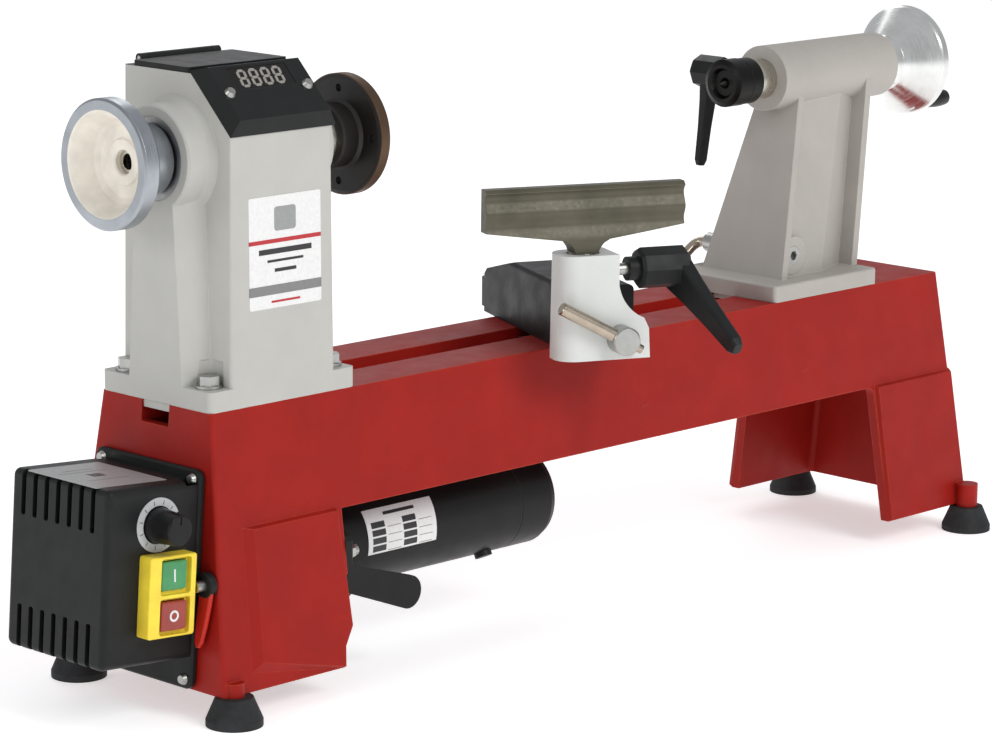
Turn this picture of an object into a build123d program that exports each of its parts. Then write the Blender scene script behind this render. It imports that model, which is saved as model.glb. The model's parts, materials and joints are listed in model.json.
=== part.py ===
from build123d import *
from math import atan, cos, degrees, radians, sin
import os

os.makedirs("parts", exist_ok=True)

# A bench-top wood lathe: cast bed on two splayed legs, belt-driven headstock, tool rest
# on a sliding banjo, and a tailstock with a screw-fed quill.
# Frame: +X along the spindle towards the tailstock, -Y towards the operator, +Z up.
# The origin is on the bench, in the middle of the four feet, under the spindle axis.

# ---------------------------------------------------------------- driving dimensions (mm)
bed_length = 719.0
bed_width = 103.0
bed_top = 191.5
bed_left = -355.0
bed_right = bed_left + bed_length
beam_depth = 74.0
leg_bottom = 18.0
side_splay = 0.141          # outward lean of the front and rear faces, per mm of depth
end_splay = 0.069           # outward lean of the end faces, per mm of depth
wall = 7.0
way_thickness = 14.0
slot_width = 26.0
foot_places = ((-358.0, -75.0), (-358.0, 75.0), (366.5, -84.3), (366.5, 84.3))
foot_bosses = ((-358.0, 6.5, 9.0), (366.5, 8.0, 17.0))     # x of a pair of feet, radius, height
foot_hole_depth = 7.0

centre_height = 152.4       # half of the 304.8 mm swing over the bed
spindle_z = bed_top + centre_height

headstock_x = -294.0        # middle of the headstock
headstock_length = 122.0    # at the base flange
headstock_body = 87.0       # along X, above the flange
flange_height = 13.0
headstock_top = bed_top + 204.5
casting_wall = 8.0

spindle_radius = 12.5       # at both bearings
nose_radius = 16.5          # M33 spindle thread
bearing_radius = 26.0
bearing_width = 15.0
through_bore = 5.0
fit = 0.05                  # radial clearance of a running fit

pulley_radii = (20.0, 28.0, 36.0)
motor_pulley_radii = (34.0, 26.0, 18.0)
pulley_step = 16.0
pulley_left = headstock_x - 1.5 * pulley_step
motor_z = 79.0
motor_radius = 34.0
motor_right = -24.0
plate_left = -255.0
plate_thickness = 6.0

tension_y = -58.0
tension_z = 87.0
pivot_y = 50.0
pivot_z = 105.0

banjo_x = 2.0               # where the banjo's clamp stands in the bed slot
banjo_angle = -24.8         # the banjo's swing about that clamp
post_x = -21.0              # tool post, in the banjo's own frame
post_y = -106.0
post_top = 70.0
post_width = 40.0
post_depth = 30.0
banjo_front = -121.0
arm_joint = -91.0
arm_rear = 66.0
arm_left = -25.0
arm_right = 22.0
cam_height = 14.0           # clamp cam above the bed
stem_radius = 8.0

tailstock_left = 178.0
tailstock_length = 114.5
tailstock_flange = 12.0
barrel_left = 219.0
barrel_right = 347.0
barrel_radius = 23.5
quill_radius = 14.0
quill_left = 203.5
tail_cam_x = 220.0
tail_cam_z = bed_top + 27.0

# ---------------------------------------------------------------- frames and small helpers
spindle_axis = Axis((0, 0, spindle_z), (1, 0, 0))
spindle_section = Plane(origin=(0, 0, spindle_z), x_dir=(1, 0, 0), z_dir=(0, -1, 0))
motor_axis = Axis((0, 0, motor_z), (1, 0, 0))
motor_section = Plane(origin=(0, 0, motor_z), x_dir=(1, 0, 0), z_dir=(0, -1, 0))
banjo_frame = Plane(origin=(banjo_x, 0, bed_top), x_dir=(cos(radians(banjo_angle)),
                    sin(radians(banjo_angle)), 0), z_dir=(0, 0, 1))

tail_frame = Plane(origin=(tail_cam_x, 0, bed_top), x_dir=(1, 0, 0), z_dir=(0, 0, 1))


def facing_right(x, y=0.0, z=spindle_z):
    """Plane at (x, y, z) looking along +X, its own x along +Y and its own y up."""
    return Plane(origin=(x, y, z), x_dir=(0, 1, 0), z_dir=(1, 0, 0))


def facing_front(x, y, z):
    """Plane at (x, y, z) looking along -Y, its own x along +X and its own y up."""
    return Plane(origin=(x, y, z), x_dir=(1, 0, 0), z_dir=(0, -1, 0))


def within(frame, x, y, z, toward=(0, 0, 1), across=(1, 0, 0)):
    """Plane placed and turned in another frame; across is squared up to toward."""
    origin = frame.from_local_coords(Vector(x, y, z))
    normal = Vector(*toward).normalized()
    first = Vector(*across)
    first = first - normal * first.dot(normal)
    normal = frame.from_local_coords(normal) - frame.origin
    first = frame.from_local_coords(first) - frame.origin
    return Plane(origin=origin, x_dir=first, z_dir=normal)


def on_banjo(x, y, z, toward=(0, 0, 1), across=(1, 0, 0)):
    """Plane placed and turned in the banjo's own frame."""
    return within(banjo_frame, x, y, z, toward, across)


def half_width(z, inset=0.0):
    """Half of the bed's width at height z."""
    return bed_width / 2 + side_splay * (bed_top - z) - inset


def bed_rectangle(z, inset, radius):
    """The bed's rectangle at height z, drawn in the sketch that is open."""
    left = bed_left - end_splay * (bed_top - z) + inset
    right = bed_right + end_splay * (bed_top - z) - inset
    with Locations(((left + right) / 2, 0)):
        RectangleRounded(right - left, 2 * half_width(z, inset), radius)


# ---------------------------------------------------------------- bed
beam_bottom = bed_top - beam_depth
slope_angle = atan(side_splay)
panel_proud = 3.5
front_face = Plane(origin=(0, -half_width(leg_bottom), leg_bottom), x_dir=(1, 0, 0),
                   z_dir=(0, -cos(slope_angle), sin(slope_angle)))
panel_top = (beam_bottom + 2.0 - leg_bottom) / cos(slope_angle)
left_leg_edge = -260.0      # inner edge of the left leg under the beam
right_leg_edge = 279.0
left_panel = ((-344, 10), (-266, 0.5), (-264, 14), (-256.5, 26), (-260, panel_top), (-341, panel_top))
left_panel_face = ((-335, 17), (-267, 1), (-265.5, 14), (-258, 26), (-261.5, panel_top - 2.5),
                   (-332, panel_top - 2.5))
right_panel = ((283, 0.5), (375, 0.5), (369.5, panel_top), (280, panel_top))
right_panel_face = ((284.5, 1), (372, 1), (367, panel_top - 2.5), (281.5, panel_top - 2.5))

with BuildPart() as leg_panels:
    for outline, face in ((left_panel, left_panel_face), (right_panel, right_panel_face)):
        with BuildSketch(front_face.offset(-1.0)):
            Polygon(*outline, align=None)
        with BuildSketch(front_face.offset(panel_proud)):
            Polygon(*face, align=None)
        loft()
    mirror(about=Plane.XZ)

belt_opening = (68.0, 80.0)
web_thickness = 6.0

with BuildPart() as bed:
    with BuildSketch(Plane.XY.offset(bed_top)):
        bed_rectangle(bed_top, 0.0, 2.5)
    with BuildSketch(Plane.XY.offset(leg_bottom)):
        bed_rectangle(leg_bottom, 0.0, 2.5)
    loft()
    add(leg_panels.part)
    # the arch between the legs
    with BuildSketch(Plane.XZ):
        arch = Polygon((left_leg_edge, beam_bottom), (-256.5, 44), (-264, 32), (-266, 10),
                       (284, 10), (right_leg_edge, beam_bottom), align=None)
        fillet(arch.vertices().group_by(Axis.Y)[-1], 6)
    extrude(amount=120, both=True, mode=Mode.SUBTRACT)
    # hollow underside, closed above by the ways
    with BuildSketch(Plane.XY.offset(bed_top - way_thickness)):
        bed_rectangle(bed_top - way_thickness, wall, 4)
    with BuildSketch(Plane.XY.offset(leg_bottom - 1)):
        bed_rectangle(leg_bottom - 1, wall, 4)
    loft(mode=Mode.SUBTRACT)
    # a boss at each corner, so that the foot bolts have metal round them
    for boss_x, boss_radius, boss_height in foot_bosses:
        with BuildSketch(Plane.XY.offset(leg_bottom)):
            with Locations(*[place for place in foot_places if place[0] == boss_x]):
                Circle(boss_radius)
        extrude(amount=boss_height)
    # motor bulkhead and two cross webs that tie the front and rear walls
    with BuildSketch(facing_right(plate_left - web_thickness, 0, 0)):
        Polygon((-half_width(beam_bottom), beam_bottom), (-half_width(76), 76), (-40, 50),
                (40, 50), (62, 90), (half_width(beam_bottom), beam_bottom),
                (half_width(bed_top - way_thickness), bed_top - way_thickness),
                (-half_width(bed_top - way_thickness), bed_top - way_thickness), align=None)
        with Locations((0, motor_z + 3)):
            RectangleRounded(44, 46, 5, mode=Mode.SUBTRACT)
    extrude(amount=web_thickness)
    for x in (30.0, 200.0):
        with BuildSketch(facing_right(x, 0, beam_bottom)):
            with Locations((0, 12)):
                Rectangle(2 * half_width(beam_bottom, 3), 24)
        extrude(amount=web_thickness)
    # slot between the ways, open at the headstock end
    with BuildSketch(Plane.XY.offset(bed_top - way_thickness)):
        with Locations((bed_left + bed_length / 2 - 15, 0)):
            Rectangle(bed_length - 14, slot_width)
        with Locations((headstock_x, 0)):
            Rectangle(*belt_opening)
    extrude(amount=way_thickness, mode=Mode.SUBTRACT)
    # boss and bore for the tension rod, along the front wall of the left leg
    with BuildSketch(facing_right(-358, tension_y, tension_z)):
        Circle(8)
    extrude(amount=99)
    with BuildSketch(facing_right(-380, tension_y, tension_z)):
        Circle(3.6)
    extrude(amount=140, mode=Mode.SUBTRACT)
    # window behind the control box, for its wires
    with BuildSketch(facing_right(-380, 0, 100)):
        RectangleRounded(56, 50, 6)
    extrude(amount=40, mode=Mode.SUBTRACT)
    # threaded holes for the headstock bolts and the foot bolts, and the motor pivot
    with BuildSketch(Plane.XY.offset(bed_top - way_thickness)):
        with Locations((headstock_x, 0)):
            with GridLocations(headstock_length - 21, 76, 2, 2):
                Circle(4)
    extrude(amount=way_thickness, mode=Mode.SUBTRACT)
    with BuildSketch(Plane.XY.offset(leg_bottom)):
        with Locations(*foot_places):
            Circle(4)
    extrude(amount=foot_hole_depth, mode=Mode.SUBTRACT)
    with BuildSketch(facing_right(plate_left - web_thickness, pivot_y, pivot_z)):
        Circle(5)
    extrude(amount=web_thickness, mode=Mode.SUBTRACT)
bed.part.label = "bed"
export_step(bed.part, "parts/bed.step")

# ---------------------------------------------------------------- feet
foot_base_radius = 18.0
foot_top_radius = 12.0

with BuildPart() as rubber_feet:
    with BuildSketch(Plane.XY):
        with Locations(*foot_places):
            Circle(foot_base_radius)
    extrude(amount=4)
    with BuildSketch(Plane.XY.offset(4)):
        with Locations(*foot_places):
            Circle(foot_base_radius)
    extrude(amount=leg_bottom - 4, taper=degrees(atan((foot_base_radius - foot_top_radius) / 14)))
    with Locations(*foot_places):
        Cylinder(8, 8, align=(Align.CENTER, Align.CENTER, Align.MIN), mode=Mode.SUBTRACT)
        Cylinder(4, leg_bottom, align=(Align.CENTER, Align.CENTER, Align.MIN), mode=Mode.SUBTRACT)
rubber_feet.part.label = "rubber_feet"
export_step(rubber_feet.part, "parts/rubber_feet.step")

with BuildPart() as foot_bolts:
    with BuildSketch(Plane.XY.offset(2)):
        with Locations(*foot_places):
            Circle(7)
    extrude(amount=6)
    with BuildSketch(Plane.XY.offset(8)):
        with Locations(*foot_places):
            Circle(4)
    extrude(amount=leg_bottom - 8 + foot_hole_depth - 0.5)

# ---------------------------------------------------------------- headstock casting
flange_top = bed_top + flange_height
body_left = headstock_x - headstock_body / 2
body_right = headstock_x + headstock_body / 2
boss_left = headstock_x - headstock_length / 2
boss_right = headstock_x + headstock_length / 2
body_draft = 0.7
bolt_offset = headstock_length - 21
slope_back = -14.4
hinge_y = 45.5
hinge_z = headstock_top + 3.2

with BuildPart() as headstock_casting:
    with BuildSketch(Plane.XY.offset(bed_top)):
        with Locations((headstock_x, 0)):
            RectangleRounded(headstock_length, bed_width, 4)
    extrude(amount=flange_height)
    with BuildSketch(Plane.XY.offset(flange_top)):
        with Locations((headstock_x, 0)):
            RectangleRounded(headstock_body, bed_width, 3)
    extrude(amount=headstock_top - flange_top, taper=body_draft)
    # the 45 degree face that carries the speed readout
    with BuildSketch(Plane.YZ.offset(body_left)):
        Polygon((slope_back, headstock_top), (slope_back - 60, headstock_top - 60),
                (slope_back - 60, headstock_top + 5), (slope_back, headstock_top + 5), align=None)
    extrude(amount=headstock_body, mode=Mode.SUBTRACT)
    # bearing bosses and the pillars that carry them down to the flange
    with BuildSketch(spindle_section):
        Polygon((boss_left, 0), (boss_left, 32), (boss_left + 2, 33.5), (body_left - 3, 34.5),
                (body_left + 4, 40), (headstock_x, 40), (headstock_x, 0), align=None)
    revolve(axis=spindle_axis)
    with BuildSketch(spindle_section):
        Polygon((boss_right, 0), (boss_right, 32), (boss_right - 2, 33.5), (body_right + 3, 34.5),
                (body_right - 4, 40), (headstock_x, 40), (headstock_x, 0), align=None)
    revolve(axis=spindle_axis)
    for z, half in ((flange_top, 25.0), (spindle_z, 16.0)):
        with BuildSketch(Plane.XY.offset(z)):
            Polygon((boss_left, -half), (boss_left, half), (body_left + 2, half + 9),
                    (body_right - 2, half + 9), (boss_right, half), (boss_right, -half),
                    (body_right - 2, -half - 9), (body_left + 2, -half - 9), align=None)
    loft()
    # locating tongue in the bed slot
    with BuildSketch(Plane.XY.offset(bed_top)):
        with Locations((boss_left + 11, 0), (boss_right - 10, 0)):
            Rectangle(20, slot_width - 1)
    extrude(amount=-5)
    # hollow for the belt and pulley
    with BuildSketch(Plane.YZ.offset(body_left + casting_wall)):
        Polygon((-43, bed_top - 6), (43, bed_top - 6), (43, headstock_top - casting_wall),
                (-11, headstock_top - casting_wall), (-42, headstock_top - casting_wall - 31),
                align=None)
    extrude(amount=headstock_body - 2 * casting_wall, mode=Mode.SUBTRACT)
    # belt hatch in the top
    with BuildSketch(Plane.XY.offset(headstock_top - casting_wall)):
        with Locations((headstock_x, 14)):
            RectangleRounded(66, 44, 4)
    extrude(amount=casting_wall, mode=Mode.SUBTRACT)
    # ears for the hatch hinge
    with BuildSketch(facing_right(headstock_x - 33, hinge_y, hinge_z)):
        Circle(3)
        with Locations((0, -2.2)):
            Rectangle(6, 4.4)
        Circle(1.5, mode=Mode.SUBTRACT)
    extrude(amount=6)
    with BuildSketch(facing_right(headstock_x + 27, hinge_y, hinge_z)):
        Circle(3)
        with Locations((0, -2.2)):
            Rectangle(6, 4.4)
        Circle(1.5, mode=Mode.SUBTRACT)
    extrude(amount=6)
    # bearing seats, open to the outside, and the shoulder behind each
    with BuildSketch(facing_right(boss_left)):
        Circle(20)
    extrude(amount=headstock_length, mode=Mode.SUBTRACT)
    with BuildSketch(facing_right(boss_left)):
        Circle(bearing_radius)
    extrude(amount=bearing_width + 2, mode=Mode.SUBTRACT)
    with BuildSketch(facing_right(boss_right)):
        Circle(bearing_radius)
    extrude(amount=-bearing_width - 2, mode=Mode.SUBTRACT)
    # bolt holes in the flange, with a spot face cut into the body's corners
    with BuildSketch(Plane.XY.offset(bed_top)):
        with Locations((headstock_x, 0)):
            with GridLocations(bolt_offset, 76, 2, 2):
                Circle(4.5)
    extrude(amount=flange_height, mode=Mode.SUBTRACT)
    with BuildSketch(Plane.XY.offset(flange_top)):
        with Locations((headstock_x, 0)):
            with GridLocations(bolt_offset, 76, 2, 2):
                Circle(9)
    extrude(amount=16, mode=Mode.SUBTRACT)
headstock_casting.part.label = "headstock_casting"
export_step(headstock_casting.part, "parts/headstock_casting.step")

with BuildPart() as headstock_bolts:
    with BuildSketch(Plane.XY.offset(flange_top + 2)):
        with Locations((headstock_x, 0)):
            with GridLocations(bolt_offset, 76, 2, 2):
                RegularPolygon(7.0, 6)
    extrude(amount=6)
    with BuildSketch(Plane.XY.offset(flange_top + 2)):
        with Locations((headstock_x, 0)):
            with GridLocations(bolt_offset, 76, 2, 2):
                Circle(4)
    extrude(amount=-flange_height - 12)
    with BuildSketch(Plane.XY.offset(flange_top)):
        with Locations((headstock_x, 0)):
            with GridLocations(bolt_offset, 76, 2, 2):
                Circle(8.2)
    extrude(amount=2)

with BuildPart() as frame_bolts:
    add(foot_bolts.part)
    add(headstock_bolts.part)
frame_bolts.part.label = "frame_bolts"
export_step(frame_bolts.part, "parts/frame_bolts.step")

# ---------------------------------------------------------------- belt hatch on the headstock
with BuildPart() as belt_cover:
    with BuildSketch(Plane.XY.offset(headstock_top)):
        with Locations((headstock_x, 15.5)):
            RectangleRounded(82, 52, 2)
    extrude(amount=3.2)
    with BuildSketch(facing_right(headstock_x - 26.7, hinge_y, hinge_z)):
        Circle(3)
        with Locations((-4, -1.6)):
            Rectangle(8, 3.2)
        Circle(1.5 + fit, mode=Mode.SUBTRACT)
    extrude(amount=53.4)
belt_cover.part.label = "belt_cover"
export_step(belt_cover.part, "parts/belt_cover.step")

with BuildPart() as belt_cover_hinge_pin:
    with BuildSketch(facing_right(headstock_x - 33, hinge_y, hinge_z)):
        Circle(1.5)
    extrude(amount=66)
belt_cover_hinge_pin.part.label = "belt_cover_hinge_pin"
export_step(belt_cover_hinge_pin.part, "parts/belt_cover_hinge_pin.step")

# ---------------------------------------------------------------- speed readout
slope_face = Plane(origin=(headstock_x, slope_back, headstock_top), x_dir=(1, 0, 0), z_dir=(0, -1, 1))
readout_rise = 8.5

with BuildPart() as readout_housing:
    with BuildSketch(slope_face):
        Polygon((-42.5, -51), (45, -51), (45, 2), (-42.5, 2), align=None)
    with BuildSketch(slope_face.offset(readout_rise)):
        Polygon((-36, -45), (39, -45), (39, -3), (-36, -3), align=None)
    loft()
    fillet(readout_housing.edges().filter_by(Axis.X).group_by(Axis.Z)[-1], 1.0)
    # window recess, and a pocket behind it for the display board
    with BuildSketch(slope_face.offset(readout_rise - 1.5)):
        with Locations((1, -14)):
            Rectangle(49, 17)
    extrude(amount=1.5, mode=Mode.SUBTRACT)
    with BuildSketch(slope_face):
        with Locations((1, -19)):
            Rectangle(58, 26)
    extrude(amount=5, mode=Mode.SUBTRACT)
    with BuildSketch(slope_face.offset(3)):
        with Locations((-31, -24), (33, -24)):
            Circle(1.6)
    extrude(amount=6, mode=Mode.SUBTRACT)
readout_housing.part.label = "readout_housing"
export_step(readout_housing.part, "parts/readout_housing.step")

with BuildPart() as readout_window:
    with BuildSketch(slope_face.offset(readout_rise - 1.5)):
        with Locations((1, -14)):
            Rectangle(49, 17)
    extrude(amount=1.2)
readout_window.part.label = "readout_window"
export_step(readout_window.part, "parts/readout_window.step")

# ---------------------------------------------------------------- spindle and its bearings
left_bearing = boss_left + 2
right_bearing = boss_right - 2 - bearing_width
bearing_lefts = (left_bearing, right_bearing)
race = 3.4
ball_radius = 3.2
ball_circle = 19.25

with BuildPart() as bearing_outer_rings:
    for x in bearing_lefts:
        with BuildSketch(facing_right(x)):
            Circle(bearing_radius)
            Circle(bearing_radius - race, mode=Mode.SUBTRACT)
        extrude(amount=bearing_width)
bearing_outer_rings.part.label = "bearing_outer_rings"
export_step(bearing_outer_rings.part, "parts/bearing_outer_rings.step")

with BuildPart() as bearing_inner_rings:
    for x in bearing_lefts:
        with BuildSketch(facing_right(x)):
            Circle(spindle_radius + race)
            Circle(spindle_radius, mode=Mode.SUBTRACT)
        extrude(amount=bearing_width)
bearing_inner_rings.part.label = "bearing_inner_rings"
export_step(bearing_inner_rings.part, "parts/bearing_inner_rings.step")

with BuildPart() as bearing_balls:
    for x in bearing_lefts:
        with Locations(facing_right(x + bearing_width / 2)):
            with PolarLocations(ball_circle, 11):
                Sphere(ball_radius)
bearing_balls.part.label = "bearing_balls"
export_step(bearing_balls.part, "parts/bearing_balls.step")

with BuildPart() as bearing_shields:
    for x in (boss_left + 0.2, boss_right - 1.8):
        with BuildSketch(facing_right(x)):
            Circle(bearing_radius)
            Circle(18.5, mode=Mode.SUBTRACT)
        extrude(amount=1.6)
bearing_shields.part.label = "bearing_shields"
export_step(bearing_shields.part, "parts/bearing_shields.step")

spindle_left = -375.0
hub_right = -356.2          # shoulder behind the outboard handwheel
nose_end = -195.0
taper_big = 8.9             # number 2 Morse taper, at the nose
taper_small = 7.3
taper_depth = 64.0

with BuildPart() as spindle:
    with BuildSketch(spindle_section):
        Polygon((spindle_left, through_bore), (spindle_left, 10.5), (spindle_left + 0.5, 11),
                (hub_right, 11), (hub_right, spindle_radius), (boss_right - 2, spindle_radius),
                (boss_right - 2, 17.5), (boss_right + 2.5, 17.5), (boss_right + 2.5, nose_radius),
                (nose_end - 1, nose_radius), (nose_end, nose_radius - 1), (nose_end, taper_big),
                (nose_end - taper_depth, taper_small), (nose_end - taper_depth, through_bore),
                align=None)
    revolve(axis=spindle_axis)
spindle.part.label = "spindle"
export_step(spindle.part, "parts/spindle.step")


def stepped_profile(radii, bore):
    """Profile of a three-step pulley with a thin flange at each side of every step."""
    points = [(pulley_left - 1.5, bore)]
    for step, radius in enumerate(radii):
        left = pulley_left + step * pulley_step
        points += [(left - 1.5, radius + 2), (left, radius + 2), (left + 1.2, radius),
                   (left + pulley_step - 2.7, radius)]
    points += [(left + pulley_step - 1.5, radius + 2), (left + pulley_step, radius + 2),
               (left + pulley_step, bore)]
    return points


with BuildPart() as spindle_pulley:
    with BuildSketch(spindle_section):
        Polygon(*stepped_profile(pulley_radii, spindle_radius), align=None)
    revolve(axis=spindle_axis)
    with BuildSketch(Plane.XY.offset(spindle_z)):
        with Locations((pulley_left + 2 * pulley_step + 6, 0)):
            Circle(2.5)
    extrude(amount=60, mode=Mode.SUBTRACT)
spindle_pulley.part.label = "spindle_pulley"
export_step(spindle_pulley.part, "parts/spindle_pulley.step")

rim_left = -395.2
with BuildPart() as outboard_handwheel:
    with BuildSketch(spindle_section):
        Polygon((rim_left + 1, 32.5), (rim_left, 33.5), (rim_left, 39.2), (rim_left + 1.4, 40.6),
                (rim_left + 10.6, 40.6), (rim_left + 12, 39.4), (rim_left + 12.5, 37.5),
                (rim_left + 22, 26), (rim_left + 24.5, 22.5), (rim_left + 38, 22),
                (rim_left + 39, 21), (rim_left + 39, 11), (spindle_left, 11), (spindle_left, 7.5),
                (rim_left + 17, 7.5), (rim_left + 16, 8.5), (rim_left + 16, 14),
                (rim_left + 17.5, 15), (rim_left + 17.5, 22.5), (rim_left + 14.5, 25.5),
                align=None)
    revolve(axis=spindle_axis)
    with BuildSketch(Plane.XY.offset(spindle_z)):
        with Locations((rim_left + 30, 0)):
            Circle(2.5)
    extrude(amount=-30, mode=Mode.SUBTRACT)
outboard_handwheel.part.label = "outboard_handwheel"
export_step(outboard_handwheel.part, "parts/outboard_handwheel.step")

with BuildPart() as spindle_set_screws:
    with BuildSketch(Plane.XY.offset(spindle_z - 11)):
        with Locations((rim_left + 30, 0)):
            Circle(2.5)
    extrude(amount=-9)
    with BuildSketch(Plane.XY.offset(spindle_z + spindle_radius)):
        with Locations((pulley_left + 2 * pulley_step + 6, 0)):
            Circle(2.5)
    extrude(amount=12)
spindle_set_screws.part.label = "spindle_set_screws"
export_step(spindle_set_screws.part, "parts/spindle_set_screws.step")

plate_face = -190.0
faceplate_radius = 39.2
with BuildPart() as faceplate:
    with BuildSketch(spindle_section):
        Polygon((-214, nose_radius), (-214, 20), (-213, 21), (-201, 21), (-199, 23),
                (-199, 36.5), (-198, faceplate_radius), (plate_face - 0.8, faceplate_radius),
                (plate_face, faceplate_radius - 0.8), (plate_face, nose_radius), align=None)
    revolve(axis=spindle_axis)
    with BuildSketch(facing_right(-199)):
        with PolarLocations(30, 4):
            Circle(2.6)
    extrude(amount=9, mode=Mode.SUBTRACT)
faceplate.part.label = "faceplate"
export_step(faceplate.part, "parts/faceplate.step")

# ---------------------------------------------------------------- belt
belt_width = 11.0
belt_thickness = 4.0
belt_gap = 0.3
belt_left = pulley_left + pulley_step + 7.25 - belt_width / 2


def belt_loop(gap):
    """Outline round both pulleys, a gap outside their middle steps, in the open sketch."""
    top = pulley_radii[1] + gap
    low = motor_pulley_radii[1] + gap
    lean = (top - low) / (spindle_z - motor_z)
    side = (1 - lean ** 2) ** 0.5
    with Locations((0, spindle_z)):
        Circle(top)
    with Locations((0, motor_z)):
        Circle(low)
    Polygon((-top * side, spindle_z - top * lean), (top * side, spindle_z - top * lean),
            (low * side, motor_z - low * lean), (-low * side, motor_z - low * lean), align=None)


with BuildPart() as drive_belt:
    with BuildSketch(facing_right(belt_left, 0, 0)):
        belt_loop(belt_gap + belt_thickness)
    extrude(amount=belt_width)
    with BuildSketch(facing_right(belt_left, 0, 0)):
        belt_loop(belt_gap)
    extrude(amount=belt_width, mode=Mode.SUBTRACT)
drive_belt.part.label = "drive_belt"
export_step(drive_belt.part, "parts/drive_belt.step")

# ---------------------------------------------------------------- motor
plate_right = plate_left + plate_thickness
shaft_radius = 4.0
cap_left = -60.0
paddle_front = -66.0
paddle_thickness = 3.5

with BuildPart() as motor_plate:
    with BuildSketch(facing_right(plate_left, 0, 0)):
        Polygon((-64, 99), (-66, 96), (-66, 62), (-60, 56), (-40, 46), (20, 40), (44, 58),
                (60, 98), (59, 109), (52, 115), (-30, 116), align=None)
        with Locations((0, motor_z)):
            Circle(12, mode=Mode.SUBTRACT)
        # slot for the tension rod, along the plate's swing about the pivot
        with Locations((tension_y + 1.2, tension_z - 5.2)):
            SlotCenterToCenter(14, 8.8, rotation=102.2, mode=Mode.SUBTRACT)
        with Locations((pivot_y, pivot_z)):
            Circle(5 + fit, mode=Mode.SUBTRACT)
    extrude(amount=plate_thickness)
    # paddle handle for lifting the motor against the belt
    with BuildSketch(facing_front(0, paddle_front, 0)):
        with Locations((-199, 53)):
            Circle(11)
        Polygon((plate_left, 63), (-203.1, 42.8), (-194.9, 63.2), (plate_left, 82), align=None)
    extrude(amount=-paddle_thickness)
motor_plate.part.label = "motor_plate"
export_step(motor_plate.part, "parts/motor_plate.step")

with BuildPart() as motor_pivot_bolt:
    with BuildSketch(facing_right(plate_right + 0.3, pivot_y, pivot_z)):
        RegularPolygon(8, 6)
    extrude(amount=5)
    with BuildSketch(facing_right(plate_left - web_thickness - 6, pivot_y, pivot_z)):
        Circle(5)
    extrude(amount=web_thickness + plate_thickness + 6.3)
motor_pivot_bolt.part.label = "motor_pivot_bolt"
export_step(motor_pivot_bolt.part, "parts/motor_pivot_bolt.step")

with BuildPart() as motor_housing:
    with BuildSketch(motor_section):
        Polygon((plate_right, 12), (plate_right, 33), (plate_right + 1, motor_radius),
                (cap_left - 0.6, motor_radius), (cap_left - 0.6, motor_radius - 3),
                (plate_right + 5, motor_radius - 3), (plate_right + 5, 12), align=None)
    revolve(axis=motor_axis)
    with Locations(Plane(origin=(-80, 0, motor_z), x_dir=(1, 0, 0), z_dir=(0, -0.45, -0.9)),
                   Plane(origin=(-80, 0, motor_z), x_dir=(1, 0, 0), z_dir=(0, 0.45, 0.9))):
        Cylinder(6, 60, align=(Align.CENTER, Align.CENTER, Align.MIN), mode=Mode.SUBTRACT)
motor_housing.part.label = "motor_housing"
export_step(motor_housing.part, "parts/motor_housing.step")

with BuildPart() as motor_end_cap:
    with BuildSketch(motor_section):
        Polygon((cap_left - 0.6, 31), (cap_left - 0.6, 33), (cap_left, 33.4), (cap_left, 34),
                (motor_right - 8, 34), (motor_right - 3, 32), (motor_right, 27),
                (motor_right, 0), (motor_right - 3, 0), (motor_right - 3, 25),
                (motor_right - 6, 28), (cap_left + 6, 31), align=None)
    revolve(axis=motor_axis)
    with BuildSketch(facing_right(motor_right - 3, 0, motor_z)):
        with GridLocations(44, 1, 2, 1):
            Circle(2.5)
    extrude(amount=3, mode=Mode.SUBTRACT)
motor_end_cap.part.label = "motor_end_cap"
export_step(motor_end_cap.part, "parts/motor_end_cap.step")

with BuildPart() as motor_screws:
    with BuildSketch(facing_right(motor_right, 0, motor_z)):
        with GridLocations(44, 1, 2, 1):
            Circle(4.2)
    extrude(amount=3)
    with BuildSketch(facing_right(motor_right - 150, 0, motor_z)):
        with GridLocations(44, 1, 2, 1):
            Circle(2.5)
    extrude(amount=150)
motor_screws.part.label = "motor_screws"
export_step(motor_screws.part, "parts/motor_screws.step")

with BuildPart() as motor_brush_caps:
    with Locations(Plane(origin=(-80, 0, motor_z), x_dir=(1, 0, 0), z_dir=(0, -0.45, -0.9)),
                   Plane(origin=(-80, 0, motor_z), x_dir=(1, 0, 0), z_dir=(0, 0.45, 0.9))):
        with Locations((0, 0, 26)):
            Cylinder(6, 11, align=(Align.CENTER, Align.CENTER, Align.MIN))
motor_brush_caps.part.label = "motor_brush_caps"
export_step(motor_brush_caps.part, "parts/motor_brush_caps.step")

with BuildPart() as motor_rotor:
    with BuildSketch(motor_section):
        Polygon((pulley_left - 4, 0), (pulley_left - 4, shaft_radius), (-225, shaft_radius),
                (-225, 18), (-100, 18), (-100, shaft_radius), (-92, shaft_radius), (-92, 12),
                (-66, 12), (-66, shaft_radius), (motor_right - 6, shaft_radius),
                (motor_right - 6, 0), align=None)
    revolve(axis=motor_axis)
motor_rotor.part.label = "motor_rotor"
export_step(motor_rotor.part, "parts/motor_rotor.step")

with BuildPart() as motor_pulley:
    with BuildSketch(motor_section):
        Polygon(*stepped_profile(motor_pulley_radii, shaft_radius), align=None)
    revolve(axis=motor_axis)
motor_pulley.part.label = "motor_pulley"
export_step(motor_pulley.part, "parts/motor_pulley.step")

# ---------------------------------------------------------------- belt tension lock
end_face_x = bed_left - end_splay * (bed_top - tension_z)
tension_rod_radius = 3.5

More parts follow.
